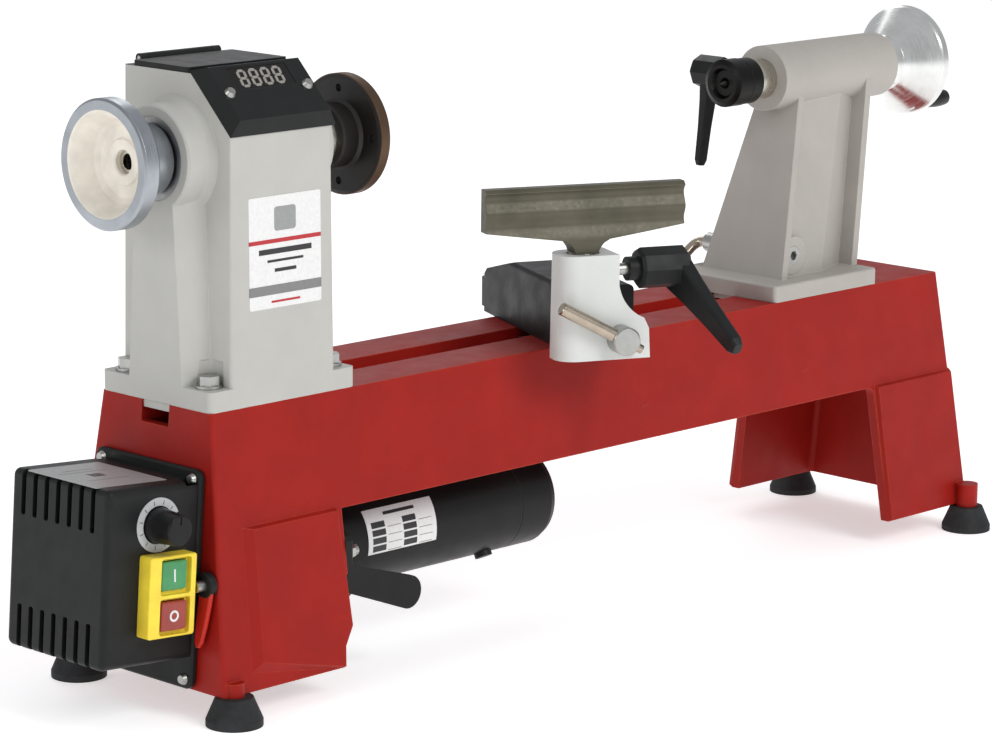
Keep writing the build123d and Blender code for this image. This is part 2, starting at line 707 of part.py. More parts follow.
with BuildPart() as tension_rod:
    with BuildSketch(facing_right(end_face_x - 12, tension_y, tension_z)):
        Circle(tension_rod_radius)
    extrude(amount=plate_right + 10 - end_face_x + 12)
    with BuildSketch(facing_right(plate_right + 0.3, tension_y, tension_z)):
        RegularPolygon(5.2, 6, rotation=30)
    extrude(amount=6)
tension_rod.part.label = "tension_rod"
export_step(tension_rod.part, "parts/tension_rod.step")

tension_hub_radius = 8.0
tension_hub_length = 5.0
tension_arm = ((4.4, 3.4, 11.6, 3.5, -0.6), (14.0, 3.6, 11.0, 4.4, 0.2), (26.0, 3.6, 9.5, 5.6, 1.6),
               (36.5, 3.4, 7.0, 6.9, 2.8), (39.5, 2.6, 4.0, 7.2, 3.2))

with BuildPart() as tension_hub:
    with BuildSketch(facing_right(end_face_x - 1, tension_y, tension_z)):
        Circle(tension_hub_radius)
        Circle(tension_rod_radius, mode=Mode.SUBTRACT)
    extrude(amount=-tension_hub_length)
    fillet(tension_hub.faces().sort_by(Axis.X)[0].outer_wire().edges(), 1.0)
    with BuildSketch(facing_right(end_face_x - 5.4, tension_y, tension_z - 6.5)):
        Rectangle(15, 4.5)
    extrude(amount=3.8, mode=Mode.SUBTRACT)
tension_hub.part.label = "tension_hub"
export_step(tension_hub.part, "parts/tension_hub.step")

with BuildPart() as tension_lever:
    for drop, thick, width, out, back in tension_arm:
        with BuildSketch(Plane.XY.offset(tension_z - drop)):
            with Locations((end_face_x - out, tension_y + back)):
                RectangleRounded(thick, width, thick / 2 - 0.1)
    loft(ruled=True)
tension_lever.part.label = "tension_lever"
export_step(tension_lever.part, "parts/tension_lever.step")

# ---------------------------------------------------------------- control box on the left end
end_angle = atan(end_splay)
box_height = 94.5
end_plane = Plane(origin=(bed_left - end_splay * (bed_top - box_height), 0, box_height),
                  x_dir=(0, -1, 0), z_dir=(-cos(end_angle), 0, sin(end_angle)))
base_thickness = 5.0
box_front = 48.5
box_rear = -44.0
box_half_height = 56.0
box_depth = 76.0
box_wall = 3.0
box_middle = (box_front + box_rear) / 2
base_bottom = -76.0
base_top = 62.0
knob_out = 36.0
knob_up = 31.5
switch_out = 31.0
switch_up = -11.5
switch_width = 37.0
switch_height = 51.0
switch_rise = 11.0


def on_box_front(out, up, rise=0.0):
    """Plane on the box's front face, looking at the operator; out is from the end of the bed."""
    origin = end_plane.from_local_coords(Vector(box_front + rise, up, out))
    return Plane(origin=origin, x_dir=-end_plane.z_dir, z_dir=(0, -1, 0))


with BuildPart() as control_box_plate:
    with BuildSketch(end_plane):
        with Locations((0, (base_top + base_bottom) / 2)):
            RectangleRounded(100, base_top - base_bottom, 6)
            RectangleRounded(58, 60, 4, mode=Mode.SUBTRACT)
    extrude(amount=base_thickness)
    chamfer(control_box_plate.faces().sort_by(Axis.X)[0].outer_wire().edges(), 1.2)
    with BuildSketch(end_plane):
        with Locations((0, (base_top + base_bottom) / 2)):
            with GridLocations(86, base_top - base_bottom - 12, 2, 2):
                Circle(2.2)
    extrude(amount=base_thickness, mode=Mode.SUBTRACT)
control_box_plate.part.label = "control_box_plate"
export_step(control_box_plate.part, "parts/control_box_plate.step")

with BuildPart() as control_box:
    with BuildSketch(end_plane.offset(base_thickness)):
        with Locations((box_middle, 0)):
            RectangleRounded(box_front - box_rear, 2 * box_half_height, 5)
    extrude(amount=box_depth - base_thickness)
    fillet(control_box.faces().sort_by(Axis.X)[0].outer_wire().edges(), 4)
    with BuildSketch(end_plane.offset(base_thickness)):
        with Locations((box_middle, 0)):
            RectangleRounded(box_front - box_rear - 2 * box_wall, 2 * (box_half_height - box_wall), 3)
        with Locations((-43, base_top - 6), (43, base_top - 6)):
            Circle(9, mode=Mode.SUBTRACT)
    extrude(amount=box_depth - base_thickness - box_wall, mode=Mode.SUBTRACT)
    # reliefs round the heads of the two upper screws
    with BuildSketch(end_plane.offset(base_thickness)):
        with Locations((-43, base_top - 6), (43, base_top - 6)):
            Circle(5.5)
    extrude(amount=9, mode=Mode.SUBTRACT)
    # cooling slots at the top and bottom of the left face
    with BuildSketch(end_plane.offset(box_depth - 4)):
        with Locations((box_middle - 1, box_half_height - 13), (box_middle - 1, 13 - box_half_height)):
            with GridLocations(11, 0, 7, 1):
                RectangleRounded(4.2, 30, 1.5)
    extrude(amount=5, mode=Mode.SUBTRACT)
    # holes for the speed knob's shaft, the switch and the cord gland
    with BuildSketch(on_box_front(knob_out, knob_up, -box_wall)):
        Circle(4)
    extrude(amount=box_wall, mode=Mode.SUBTRACT)
    with BuildSketch(on_box_front(switch_out, switch_up, -box_wall)):
        Rectangle(28, 44)
    extrude(amount=box_wall, mode=Mode.SUBTRACT)
    with BuildSketch(Plane(origin=end_plane.from_local_coords(Vector(box_rear, -34, 40)),
                           x_dir=(1, 0, 0), z_dir=(0, 1, 0))):
        Circle(7)
    extrude(amount=-box_wall, mode=Mode.SUBTRACT)
control_box.part.label = "control_box"
export_step(control_box.part, "parts/control_box.step")

with BuildPart() as cord_gland:
    with BuildSketch(Plane(origin=end_plane.from_local_coords(Vector(box_rear + 6, -34, 40)),
                           x_dir=(1, 0, 0), z_dir=(0, 1, 0))):
        Circle(6.9)
    extrude(amount=6)
    with BuildSketch(Plane(origin=end_plane.from_local_coords(Vector(box_rear, -34, 40)),
                           x_dir=(1, 0, 0), z_dir=(0, 1, 0))):
        RegularPolygon(10, 6)
    extrude(amount=5)
    with BuildSketch(Plane(origin=end_plane.from_local_coords(Vector(box_rear - 5, -34, 40)),
                           x_dir=(1, 0, 0), z_dir=(0, 1, 0))):
        Circle(8)
    extrude(amount=9, taper=12)
    with BuildSketch(Plane(origin=end_plane.from_local_coords(Vector(box_rear + 7, -34, 40)),
                           x_dir=(1, 0, 0), z_dir=(0, 1, 0))):
        Circle(3.5)
    extrude(amount=30, mode=Mode.SUBTRACT)
cord_gland.part.label = "cord_gland"
export_step(cord_gland.part, "parts/cord_gland.step")

with BuildPart() as cover_screws:
    with BuildSketch(end_plane.offset(base_thickness)):
        with Locations((0, (base_top + base_bottom) / 2)):
            with GridLocations(86, base_top - base_bottom - 12, 2, 2):
                Circle(3.8)
    extrude(amount=2.6, taper=25)
    with BuildSketch(end_plane.offset(base_thickness)):
        with Locations((0, (base_top + base_bottom) / 2)):
            with GridLocations(86, base_top - base_bottom - 12, 2, 2):
                Circle(2.2)
    extrude(amount=-base_thickness)
    with BuildSketch(slope_face.offset(readout_rise)):
        with Locations((-31, -24), (33, -24)):
            Circle(3.8)
    extrude(amount=2.6, taper=25)
    with BuildSketch(slope_face.offset(readout_rise)):
        with Locations((-31, -24), (33, -24)):
            Circle(1.6)
    extrude(amount=-5)
cover_screws.part.label = "cover_screws"
export_step(cover_screws.part, "parts/cover_screws.step")

with BuildPart() as circuit_boards:
    with BuildSketch(end_plane.offset(12)):
        with Locations((box_middle - 4, 4)):
            Rectangle(62, 86)
    extrude(amount=1.6)
    with BuildSketch(end_plane.offset(13.6)):
        with Locations((box_middle - 20, 22)):
            Rectangle(20, 36)
    extrude(amount=24)
    with BuildSketch(end_plane.offset(13.6)):
        with Locations((box_middle - 14, -24)):
            Circle(11)
    extrude(amount=30)
    with BuildSketch(slope_face.offset(1.5)):
        with Locations((1, -19)):
            Rectangle(54, 22)
    extrude(amount=1.6)
circuit_boards.part.label = "circuit_boards"
export_step(circuit_boards.part, "parts/circuit_boards.step")

with BuildPart() as speed_knob:
    with BuildSketch(on_box_front(knob_out, knob_up, 1.0)):
        Circle(11.2)
    extrude(amount=20, taper=5)
    fillet(speed_knob.faces().sort_by(Axis.Y)[0].edges(), 1.2)
    with BuildSketch(on_box_front(knob_out, knob_up, 1.0)):
        Circle(3)
    extrude(amount=-12)
    with BuildSketch(on_box_front(knob_out, knob_up, 20.2)):
        with Locations((0, 6)):
            Rectangle(1.2, 5)
    extrude(amount=2, mode=Mode.SUBTRACT)
speed_knob.part.label = "speed_knob"
export_step(speed_knob.part, "parts/speed_knob.step")

button_width = 20.0
start_up = 12.5
stop_up = -12.5
with BuildPart() as switch_housing:
    with BuildSketch(on_box_front(switch_out, switch_up)):
        RectangleRounded(switch_width, switch_height, 2)
    extrude(amount=switch_rise)
    fillet(switch_housing.faces().sort_by(Axis.Y)[0].outer_wire().edges(), 1.2)
    with BuildSketch(on_box_front(switch_out, switch_up, switch_rise - 4)):
        with Locations((2, start_up), (2, stop_up)):
            RectangleRounded(button_width + 4, 23, 2)
    extrude(amount=4, mode=Mode.SUBTRACT)
    with BuildSketch(on_box_front(switch_out, switch_up, -box_wall - 18)):
        Rectangle(27.6, 43.6)
    extrude(amount=box_wall + 18)
    with BuildSketch(on_box_front(switch_out, switch_up, -6)):
        with Locations((2, start_up), (2, stop_up)):
            Rectangle(button_width + 1, 19)
    extrude(amount=20, mode=Mode.SUBTRACT)
switch_housing.part.label = "switch_housing"
export_step(switch_housing.part, "parts/switch_housing.step")

with BuildPart() as start_button:
    with BuildSketch(on_box_front(switch_out, switch_up, -2)):
        with Locations((2, start_up)):
            RectangleRounded(button_width, 18, 1.5)
    extrude(amount=switch_rise + 0.5)
    fillet(start_button.faces().sort_by(Axis.Y)[0].outer_wire().edges(), 1.0)
start_button.part.label = "start_button"
export_step(start_button.part, "parts/start_button.step")

with BuildPart() as stop_button:
    with BuildSketch(on_box_front(switch_out, switch_up, -2)):
        with Locations((2, stop_up)):
            RectangleRounded(button_width, 18, 1.5)
    extrude(amount=switch_rise + 1.5)
    fillet(stop_button.faces().sort_by(Axis.Y)[0].outer_wire().edges(), 1.0)
stop_button.part.label = "stop_button"
export_step(stop_button.part, "parts/stop_button.step")

# ---------------------------------------------------------------- cam clamps that grip the bed
journal_radius = 7.0
eccentric_radius = 5.5
eccentric_shift = 1.2
eye_bore = 7.3
eye_radius = 10.0
eye_width = 14.0
bolt_radius = 5.0
ride_gap = 0.1
clamp_drop = way_thickness + 0.3
clamp_thickness = 8.0
post_flare = 21.5


def make_eye_bolt(frame, height):
    """Eye round the cam, its shank down through the slot, and the nut under the clamp plate."""
    with BuildPart() as bolt:
        with BuildSketch(within(frame, 0, -eye_width / 2, height, (0, 1, 0))):
            Circle(eye_radius)
        extrude(amount=eye_width)
        with BuildSketch(within(frame, 0, 0, height - eye_radius + 1)):
            Circle(bolt_radius)
        extrude(amount=-height + eye_radius - clamp_drop - clamp_thickness - 11)
        with BuildSketch(within(frame, 0, 0, -clamp_drop - clamp_thickness - 0.2)):
            RegularPolygon(9, 6)
        extrude(amount=-7)
        with BuildSketch(within(frame, 0, -eye_width / 2, height, (0, 1, 0))):
            Circle(eye_bore)
        extrude(amount=eye_width, mode=Mode.SUBTRACT)
    return bolt


def make_clamp_plate(x):
    """Plate that pulls up under both ways, with a tongue in the slot."""
    with BuildPart() as plate:
        with BuildSketch(Plane.XY.offset(bed_top - clamp_drop)):
            with Locations((x, 0)):
                RectangleRounded(50, 60, 4)
        extrude(amount=-clamp_thickness)
        with BuildSketch(Plane.XY.offset(bed_top - clamp_drop)):
            with Locations((x, 0)):
                Rectangle(40, slot_width - 1)
        extrude(amount=clamp_thickness)
        with BuildSketch(Plane.XY.offset(bed_top)):
            with Locations((x, 0)):
                Circle(bolt_radius + fit)
        extrude(amount=-30, mode=Mode.SUBTRACT)
    return plate


banjo_eye_bolt = make_eye_bolt(banjo_frame, cam_height)
banjo_eye_bolt.part.label = "banjo_eye_bolt"
export_step(banjo_eye_bolt.part, "parts/banjo_eye_bolt.step")

banjo_clamp_plate = make_clamp_plate(banjo_x)
banjo_clamp_plate.part.label = "banjo_clamp_plate"
export_step(banjo_clamp_plate.part, "parts/banjo_clamp_plate.step")

tailstock_eye_bolt = make_eye_bolt(tail_frame, tail_cam_z - bed_top)
tailstock_eye_bolt.part.label = "tailstock_eye_bolt"
export_step(tailstock_eye_bolt.part, "parts/tailstock_eye_bolt.step")

tailstock_clamp_plate = make_clamp_plate(tail_cam_x)
tailstock_clamp_plate.part.label = "tailstock_clamp_plate"
export_step(tailstock_clamp_plate.part, "parts/tailstock_clamp_plate.step")

# ---------------------------------------------------------------- banjo
lock_height = 57.5
stud_radius = 4.0
cam_head_radius = 9.5
cam_rod_radius = 4.4
cam_rod_y = -128.2
cam_rod_direction = (-0.88, 0, 0.475)
banjo_cam_spans = ((-134, -121.3, cam_head_radius, 0), (-121.3, -69, journal_radius, 0),
                   (-69, 61, eccentric_radius, eccentric_shift), (61, 77, journal_radius, 0))

with BuildPart() as banjo_post:
    with BuildSketch(on_banjo(0, arm_joint, 0, (0, -1, 0))):
        with BuildLine():
            Polyline((-1, 50), (-1, post_top), (-41, post_top), (-42, ride_gap),
                     (post_flare, ride_gap), (20.5, 20), (17, 27))
            ThreePointArc((17, 27), (4.6, 36.5), (-1, 50))
        make_face()
    extrude(amount=banjo_front - arm_joint, dir=banjo_frame.y_dir)
    left_face = banjo_post.faces().sort_by(Axis(banjo_frame.origin, banjo_frame.x_dir))[0]
    fillet(left_face.edges().filter_by(lambda edge: abs(edge.tangent_at(0).Z) > 0.9), 13)
    with BuildSketch(on_banjo(post_x, post_y, post_top)):
        Circle(stem_radius + fit)
    extrude(amount=-post_top + 12, mode=Mode.SUBTRACT)
    with BuildSketch(on_banjo(post_x, post_y, post_top)):
        Circle(11)
    extrude(amount=-3, taper=30, mode=Mode.SUBTRACT)
    with BuildSketch(on_banjo(post_x, post_y, lock_height, (1, 0, 0), (0, 1, 0))):
        Circle(stud_radius + fit)
    extrude(amount=30, mode=Mode.SUBTRACT)
    with BuildSketch(on_banjo(0, banjo_front - 1, cam_height, (0, 1, 0))):
        Circle(journal_radius + fit)
    extrude(amount=post_depth + 2, mode=Mode.SUBTRACT)
banjo_post.part.label = "banjo_post"
export_step(banjo_post.part, "parts/banjo_post.step")

with BuildPart() as banjo_arm:
    with BuildSketch(on_banjo(arm_left, 0, 0, (1, 0, 0), (0, 1, 0))):
        Polygon((arm_joint, ride_gap), (arm_joint, 44), (11, 44), (61, 31.5), (arm_rear, 27),
                (arm_rear, 23.5), (78, 23.5), (78, 3.5), (arm_rear, 3.5), (arm_rear, ride_gap), align=None)
    extrude(amount=arm_right - arm_left)
    corners = banjo_arm.edges().filter_by(Axis.Z).sort_by(Axis(banjo_frame.origin, banjo_frame.y_dir))
    fillet(corners[-2:], 9)
    roof = banjo_arm.faces().filter_by(Axis.Z).sort_by(Axis.Z)[-1]
    fillet(roof.edges().filter_by(Axis(banjo_frame.origin, banjo_frame.y_dir)), 4)
    with BuildSketch(on_banjo(0, -4, 0)):
        Rectangle(28, 132)
    extrude(amount=30, mode=Mode.SUBTRACT)
    with BuildSketch(on_banjo(0, arm_joint - 1, cam_height, (0, 1, 0))):
        Circle(journal_radius + fit)
    extrude(amount=171, mode=Mode.SUBTRACT)
banjo_arm.part.label = "banjo_arm"
export_step(banjo_arm.part, "parts/banjo_arm.step")

with BuildPart() as banjo_cam_shaft:
    for start, end, radius, lift in banjo_cam_spans:
        with BuildSketch(on_banjo(0, start, cam_height + lift, (0, 1, 0))):
            Circle(radius)
        extrude(amount=end - start)
    chamfer(banjo_cam_shaft.faces().sort_by(Axis(banjo_frame.origin, banjo_frame.y_dir))[0].edges(), 1)
    with BuildSketch(on_banjo(-20 * cam_rod_direction[0], cam_rod_y, cam_height - 20 * cam_rod_direction[2],
                              cam_rod_direction, (0, 1, 0))):
        Circle(cam_rod_radius)
    extrude(amount=40, mode=Mode.SUBTRACT)
banjo_cam_shaft.part.label = "banjo_cam_shaft"
export_step(banjo_cam_shaft.part, "parts/banjo_cam_shaft.step")

with BuildPart() as banjo_cam_handle:
    with BuildSketch(on_banjo(-10 * cam_rod_direction[0], cam_rod_y, cam_height - 10 * cam_rod_direction[2],
                              cam_rod_direction, (0, 1, 0))):
        Circle(cam_rod_radius)
    extrude(amount=61)
    chamfer(banjo_cam_handle.edges().sort_by(Axis(banjo_frame.origin, banjo_frame.x_dir))[0], 0.8)
    with BuildSketch(on_banjo(-14 * cam_rod_direction[0], cam_rod_y, cam_height - 14 * cam_rod_direction[2],
                              cam_rod_direction, (0, 1, 0))):
        Circle(3)
    extrude(amount=6)
banjo_cam_handle.part.label = "banjo_cam_handle"
export_step(banjo_cam_handle.part, "parts/banjo_cam_handle.step")

# ---------------------------------------------------------------- tool rest and its lock
rest_length = 140.0
rest_top = 115.0
rest_end_bottom = 86.6
stem_socket = 84.0          # top of the stem's reduced end inside the casting
rest_left = post_x - rest_length / 2
rest_right = post_x + rest_length / 2

with BuildPart() as tool_rest:
    with BuildSketch(on_banjo(0, post_y + 10, 0, (0, -1, 0))):
        Polygon((rest_left, rest_top), (rest_left, rest_end_bottom), (-37, 79.5), (-32.5, 77),
                (-30, 73.5), (-29, post_top + 0.5), (-13, post_top + 0.5), (-12, 73.5), (-9.5, 77),
                (-5, 79.5), (rest_right, rest_end_bottom), (rest_right, rest_top), align=None)
    extrude(amount=20)
    with BuildSketch(on_banjo(rest_left, post_y, 0, (1, 0, 0), (0, 1, 0))):
        with BuildLine():
            Polyline((-8, 77), (-7.6, post_top + 0.5), (7.6, post_top + 0.5), (7.6, 77), (4.5, 84),
                     (4, rest_top), (-3.5, rest_top), (-6, 112.5))
            Spline((-6, 112.5), (-3.6, 106), (-6.6, 98.5), (-4.2, 91.5), (-6.4, 84), (-8, 77))
        make_face()
    extrude(amount=rest_length, mode=Mode.INTERSECT)
    with BuildSketch(on_banjo(post_x, post_y, stem_socket)):
        Circle(5 + fit)
    extrude(amount=-20, mode=Mode.SUBTRACT)
tool_rest.part.label = "tool_rest"
export_step(tool_rest.part, "parts/tool_rest.step")

with BuildPart() as tool_rest_stem:
    with BuildSketch(on_banjo(post_x, post_y, post_top + 0.3)):
        Circle(stem_radius)
    extrude(amount=-56)
    with BuildSketch(on_banjo(post_x, post_y, post_top)):
        Circle(5)
    extrude(amount=stem_socket - post_top - 0.3)
tool_rest_stem.part.label = "tool_rest_stem"
export_step(tool_rest_stem.part, "parts/tool_rest_stem.step")

with BuildPart() as tool_rest_lock_stud:
    with BuildSketch(on_banjo(post_x + stem_radius + 0.3, post_y, lock_height, (1, 0, 0), (0, 1, 0))):
        Circle(stud_radius)
    extrude(amount=33)
tool_rest_lock_stud.part.label = "tool_rest_lock_stud"
export_step(tool_rest_lock_stud.part, "parts/tool_rest_lock_stud.step")

rest_lever_root = Vector(47, post_y + 2.4, lock_height - 3.2)
rest_lever_reach = Vector(63, -166, 13) - rest_lever_root
rest_lever_sections = ((0.0, 29.0, 11.0), (0.3, 22.0, 10.0), (0.6, 17.0, 9.0), (0.97, 12.5, 8.5),
                       (1.03, 8.5, 6.5))


with BuildPart() as tool_rest_lock_lever:
    with BuildSketch(on_banjo(17.5, post_y, lock_height, (1, 0, 0), (0, 1, 0))):
        RegularPolygon(13.8, 8)
    extrude(amount=35.5)
    chamfer(tool_rest_lock_lever.edges().filter_by(GeomType.LINE)
            .group_by(Axis(banjo_frame.origin, banjo_frame.x_dir))[0], 2.0)
    chamfer(tool_rest_lock_lever.edges().filter_by(GeomType.LINE)
            .group_by(Axis(banjo_frame.origin, banjo_frame.x_dir))[-1], 3.0)
    with BuildSketch(on_banjo(10, post_y, lock_height, (1, 0, 0), (0, 1, 0))):
        Circle(8)
    extrude(amount=8)
    for share, width, thickness in rest_lever_sections:
        middle = rest_lever_root + rest_lever_reach * share
        with BuildSketch(on_banjo(middle.X, middle.Y, middle.Z, tuple(rest_lever_reach), (1, 0, 0))):
            RectangleRounded(thickness, width, 2.2)
    loft(ruled=True)
    with BuildSketch(on_banjo(0, post_y, lock_height, (1, 0, 0), (0, 1, 0))):
        Circle(stud_radius)
    extrude(amount=post_x + stem_radius + 33.3, mode=Mode.SUBTRACT)
tool_rest_lock_lever.part.label = "tool_rest_lock_lever"
export_step(tool_rest_lock_lever.part, "parts/tool_rest_lock_lever.step")

# ---------------------------------------------------------------- tailstock casting
flange_bottom = bed_top + ride_gap
tail_flange_top = bed_top + tailstock_flange
tailstock_right = tailstock_left + tailstock_length
tower_top = spindle_z - 6.0
cam_boss_y = 32.5
screw_journal = 6.0
lock_x = barrel_left + 7
lock_z = spindle_z - 1.0


def mirrored(*points):
    """Outline closed by the same points on the other side of the lathe's centre plane."""
    return tuple(points) + tuple((x, -y) for x, y in reversed(points))


tower_core = (mirrored((204, -32), (251, -33), (289, -19)), mirrored((243, -12.5), (289, -17), (313, -9)))
left_web = (mirrored((201, -38), (207, -38)), mirrored((240.5, -17.7), (246.5, -17.7)))
right_web = (mirrored((286, -33), (292, -33)), mirrored((310, -23), (316, -23)))
tower_hollow = (mirrored((209, -22), (250, -25), (281, -11)), mirrored((241, -9), (275, -12), (298, -5)))

with BuildPart() as tailstock_body:
    with BuildSketch(Plane.XY.offset(flange_bottom)):
        with Locations(((tailstock_left + tailstock_right) / 2, 0)):
            RectangleRounded(tailstock_length, bed_width, 3)
    extrude(amount=tail_flange_top - flange_bottom)
    fillet(tailstock_body.faces().sort_by(Axis.Z)[-1].edges(), 1.5)
    for low, high in (tower_core, left_web, right_web):
        with BuildSketch(Plane.XY.offset(tail_flange_top)):
            Polygon(*low, align=None)
        with BuildSketch(Plane.XY.offset(tower_top)):
            Polygon(*high, align=None)
        loft()
    with BuildSketch(facing_front(tail_cam_x, -cam_boss_y, tail_cam_z)):
        Circle(14)
    extrude(amount=-2 * cam_boss_y)
    with BuildSketch(facing_right(barrel_left)):
        Circle(barrel_radius)
    extrude(amount=barrel_right - barrel_left)
    fillet(tailstock_body.faces().sort_by(Axis.X)[-1].outer_wire().edges(), 2)
    # tongue in the bed slot
    with BuildSketch(Plane.XY.offset(flange_bottom)):
        with Locations(((tailstock_left + tailstock_right) / 2, 0)):
            Rectangle(tailstock_length - 14, slot_width - 1)
    extrude(amount=-5)
    # hollow tower, with room round the eye of the clamp bolt
    with BuildSketch(Plane.XY.offset(tail_flange_top - 0.5)):
        Polygon(*tower_hollow[0], align=None)
    with BuildSketch(Plane.XY.offset(tower_top - 34)):
        Polygon(*tower_hollow[1], align=None)
    loft(mode=Mode.SUBTRACT)
    with BuildSketch(Plane.XY.offset(bed_top - 6)):
        with Locations((tail_cam_x, 0)):
            Circle(bolt_radius + 1.5)
    extrude(amount=20, mode=Mode.SUBTRACT)
    with BuildSketch(facing_front(tail_cam_x, -9, tail_cam_z)):
        Circle(eye_radius + 0.4)
        with Locations((0, -12)):
            Rectangle(2 * eye_radius + 0.8, 24)
    extrude(amount=-18, mode=Mode.SUBTRACT)
    with BuildSketch(facing_front(tail_cam_x, -cam_boss_y, tail_cam_z)):
        Circle(journal_radius + fit)
    extrude(amount=-2 * cam_boss_y, mode=Mode.SUBTRACT)
    with BuildSketch(facing_right(barrel_left)):
        Circle(quill_radius + fit)
    extrude(amount=barrel_right - barrel_left - 12, mode=Mode.SUBTRACT)
    with BuildSketch(facing_right(barrel_left)):
        Circle(screw_journal + fit)
    extrude(amount=barrel_right - barrel_left, mode=Mode.SUBTRACT)
    with BuildSketch(facing_front(lock_x, 0, lock_z)):
        Circle(stud_radius + fit)
    extrude(amount=-barrel_radius - 4, mode=Mode.SUBTRACT)
tailstock_body.part.label = "tailstock_body"
export_step(tailstock_body.part, "parts/tailstock_body.step")

tail_shaft_rear = 50.0
tail_rod_start = 42.0
tail_rod_radius = 3.8
tail_rod_bend = 9.0
tail_rod_corners = ((tail_cam_x, 59, tail_cam_z), (206, 63, 206), (202.5, 70, 146))
tail_cam_spans = ((-cam_boss_y, -18, journal_radius, 0), (-18, 18, eccentric_radius, eccentric_shift),
                  (18, tail_shaft_rear, journal_radius, 0))

with BuildPart() as tailstock_cam_shaft:
    for start, end, radius, lift in tail_cam_spans:
        with BuildSketch(within(tail_frame, 0, start, tail_cam_z - bed_top + lift, (0, 1, 0))):
            Circle(radius)
        extrude(amount=end - start)
    chamfer(tailstock_cam_shaft.faces().sort_by(Axis.Y)[-1].edges(), 1)
    with BuildSketch(facing_front(tail_cam_x, -cam_boss_y, tail_cam_z)):
        RegularPolygon(3.6, 6)
    extrude(amount=-5, mode=Mode.SUBTRACT)
    with BuildSketch(facing_front(tail_cam_x, tail_rod_start, tail_cam_z)):
        Circle(tail_rod_radius)
    extrude(amount=tail_rod_start - tail_shaft_rear, mode=Mode.SUBTRACT)
tailstock_cam_shaft.part.label = "tailstock_cam_shaft"
export_step(tailstock_cam_shaft.part, "parts/tailstock_cam_shaft.step")

with BuildPart() as tailstock_cam_handle:
    with BuildLine() as bent_rod:
        FilletPolyline((tail_cam_x, tail_rod_start, tail_cam_z), *tail_rod_corners, radius=tail_rod_bend)
    with BuildSketch(facing_front(tail_cam_x, tail_rod_start, tail_cam_z)):
        Circle(tail_rod_radius)
    sweep(path=bent_rod.wires()[0])
tailstock_cam_handle.part.label = "tailstock_cam_handle"
export_step(tailstock_cam_handle.part, "parts/tailstock_cam_handle.step")

# ---------------------------------------------------------------- quill, its screw and its lock
quill_length = 128.0
quill_right = quill_left + quill_length
socket_depth = 64.0
socket_large = 8.9          # Morse taper no. 2
socket_small = 7.3
screw_radius = 5.0
screw_left = 268.0
groove_depth = 2.6
groove_length = 68.0
groove_middle = lock_x - 8 + groove_length / 2

with BuildPart() as quill:
    with BuildSketch(spindle_section):
        Polygon((quill_left, socket_large), (quill_left, 13.3), (quill_left + 0.7, quill_radius),
                (quill_right, quill_radius), (quill_right, screw_radius + fit),
                (quill_left + socket_depth, screw_radius + fit), (quill_left + socket_depth, socket_small),
                align=None)
    revolve(axis=spindle_axis)
    with BuildSketch(facing_front(groove_middle, quill_radius, lock_z)):
        SlotOverall(groove_length, 4.4)
    extrude(amount=groove_depth, mode=Mode.SUBTRACT)
quill.part.label = "quill"
export_step(quill.part, "parts/quill.step")

wheel_radius = 40.55
wheel_face = 385.6
wheel_hub_left = barrel_right + 2.0
wheel_hub_face = 368.0
crank_y = -12.0
crank_z = spindle_z - 30.0
crank_grip_radius = 6.5
crank_end = 417.0

with BuildPart() as quill_screw:
    with BuildSketch(spindle_section):
        Polygon((screw_left, 0), (screw_left, screw_radius), (quill_right + 0.5, screw_radius),
                (quill_right + 0.5, 9), (barrel_right - 12.3, 9), (barrel_right - 12.3, screw_journal),
                (wheel_hub_face + 9, screw_journal), (wheel_hub_face + 9, 0), align=None)
    revolve(axis=spindle_axis)
    with BuildSketch(facing_right(wheel_hub_face)):
        RegularPolygon(9.5, 6)
    extrude(amount=7)
quill_screw.part.label = "quill_screw"
export_step(quill_screw.part, "parts/quill_screw.step")

with BuildPart() as tail_handwheel:
    with BuildSketch(spindle_section):
        Polygon((wheel_hub_left, screw_journal), (wheel_hub_left, 19), (wheel_hub_left + 1, 20),
                (357, 20.5), (377.6, 39.5), (379, wheel_radius), (wheel_face - 1, wheel_radius),
                (wheel_face, wheel_radius - 1), (wheel_face, 35.5), (384, 33.5), (370.5, 22),
                (wheel_hub_face, 17), (wheel_hub_face, screw_journal), align=None)
    revolve(axis=spindle_axis)
    with BuildSketch(facing_right(375, crank_y, crank_z)):
        Circle(6)
    extrude(amount=wheel_face - 375)
    with BuildSketch(facing_right(wheel_face, crank_y, crank_z)):
        Circle(3)
    extrude(amount=crank_end - 3.4 - wheel_face)
    with BuildSketch(facing_right(crank_end - 3.4, crank_y, crank_z)):
        Circle(4.2)
    extrude(amount=2.2)
tail_handwheel.part.label = "tail_handwheel"
export_step(tail_handwheel.part, "parts/tail_handwheel.step")

with BuildPart() as crank_handle:
    with BuildSketch(facing_right(wheel_face + 0.3, crank_y, crank_z)):
        Circle(5.2)
    with BuildSketch(facing_right(wheel_face + 9, crank_y, crank_z)):
        Circle(5.9)
    with BuildSketch(facing_right(crank_end - 9, crank_y, crank_z)):
        Circle(crank_grip_radius)
    with BuildSketch(facing_right(crank_end, crank_y, crank_z)):
        Circle(5.6)
    loft()
    with BuildSketch(facing_right(wheel_face, crank_y, crank_z)):
        Circle(3 + fit)
    extrude(amount=crank_end - wheel_face, mode=Mode.SUBTRACT)
    with BuildSketch(facing_right(crank_end, crank_y, crank_z)):
        Circle(4.6)
    extrude(amount=-3.7, mode=Mode.SUBTRACT)
crank_handle.part.label = "crank_handle"
export_step(crank_handle.part, "parts/crank_handle.step")

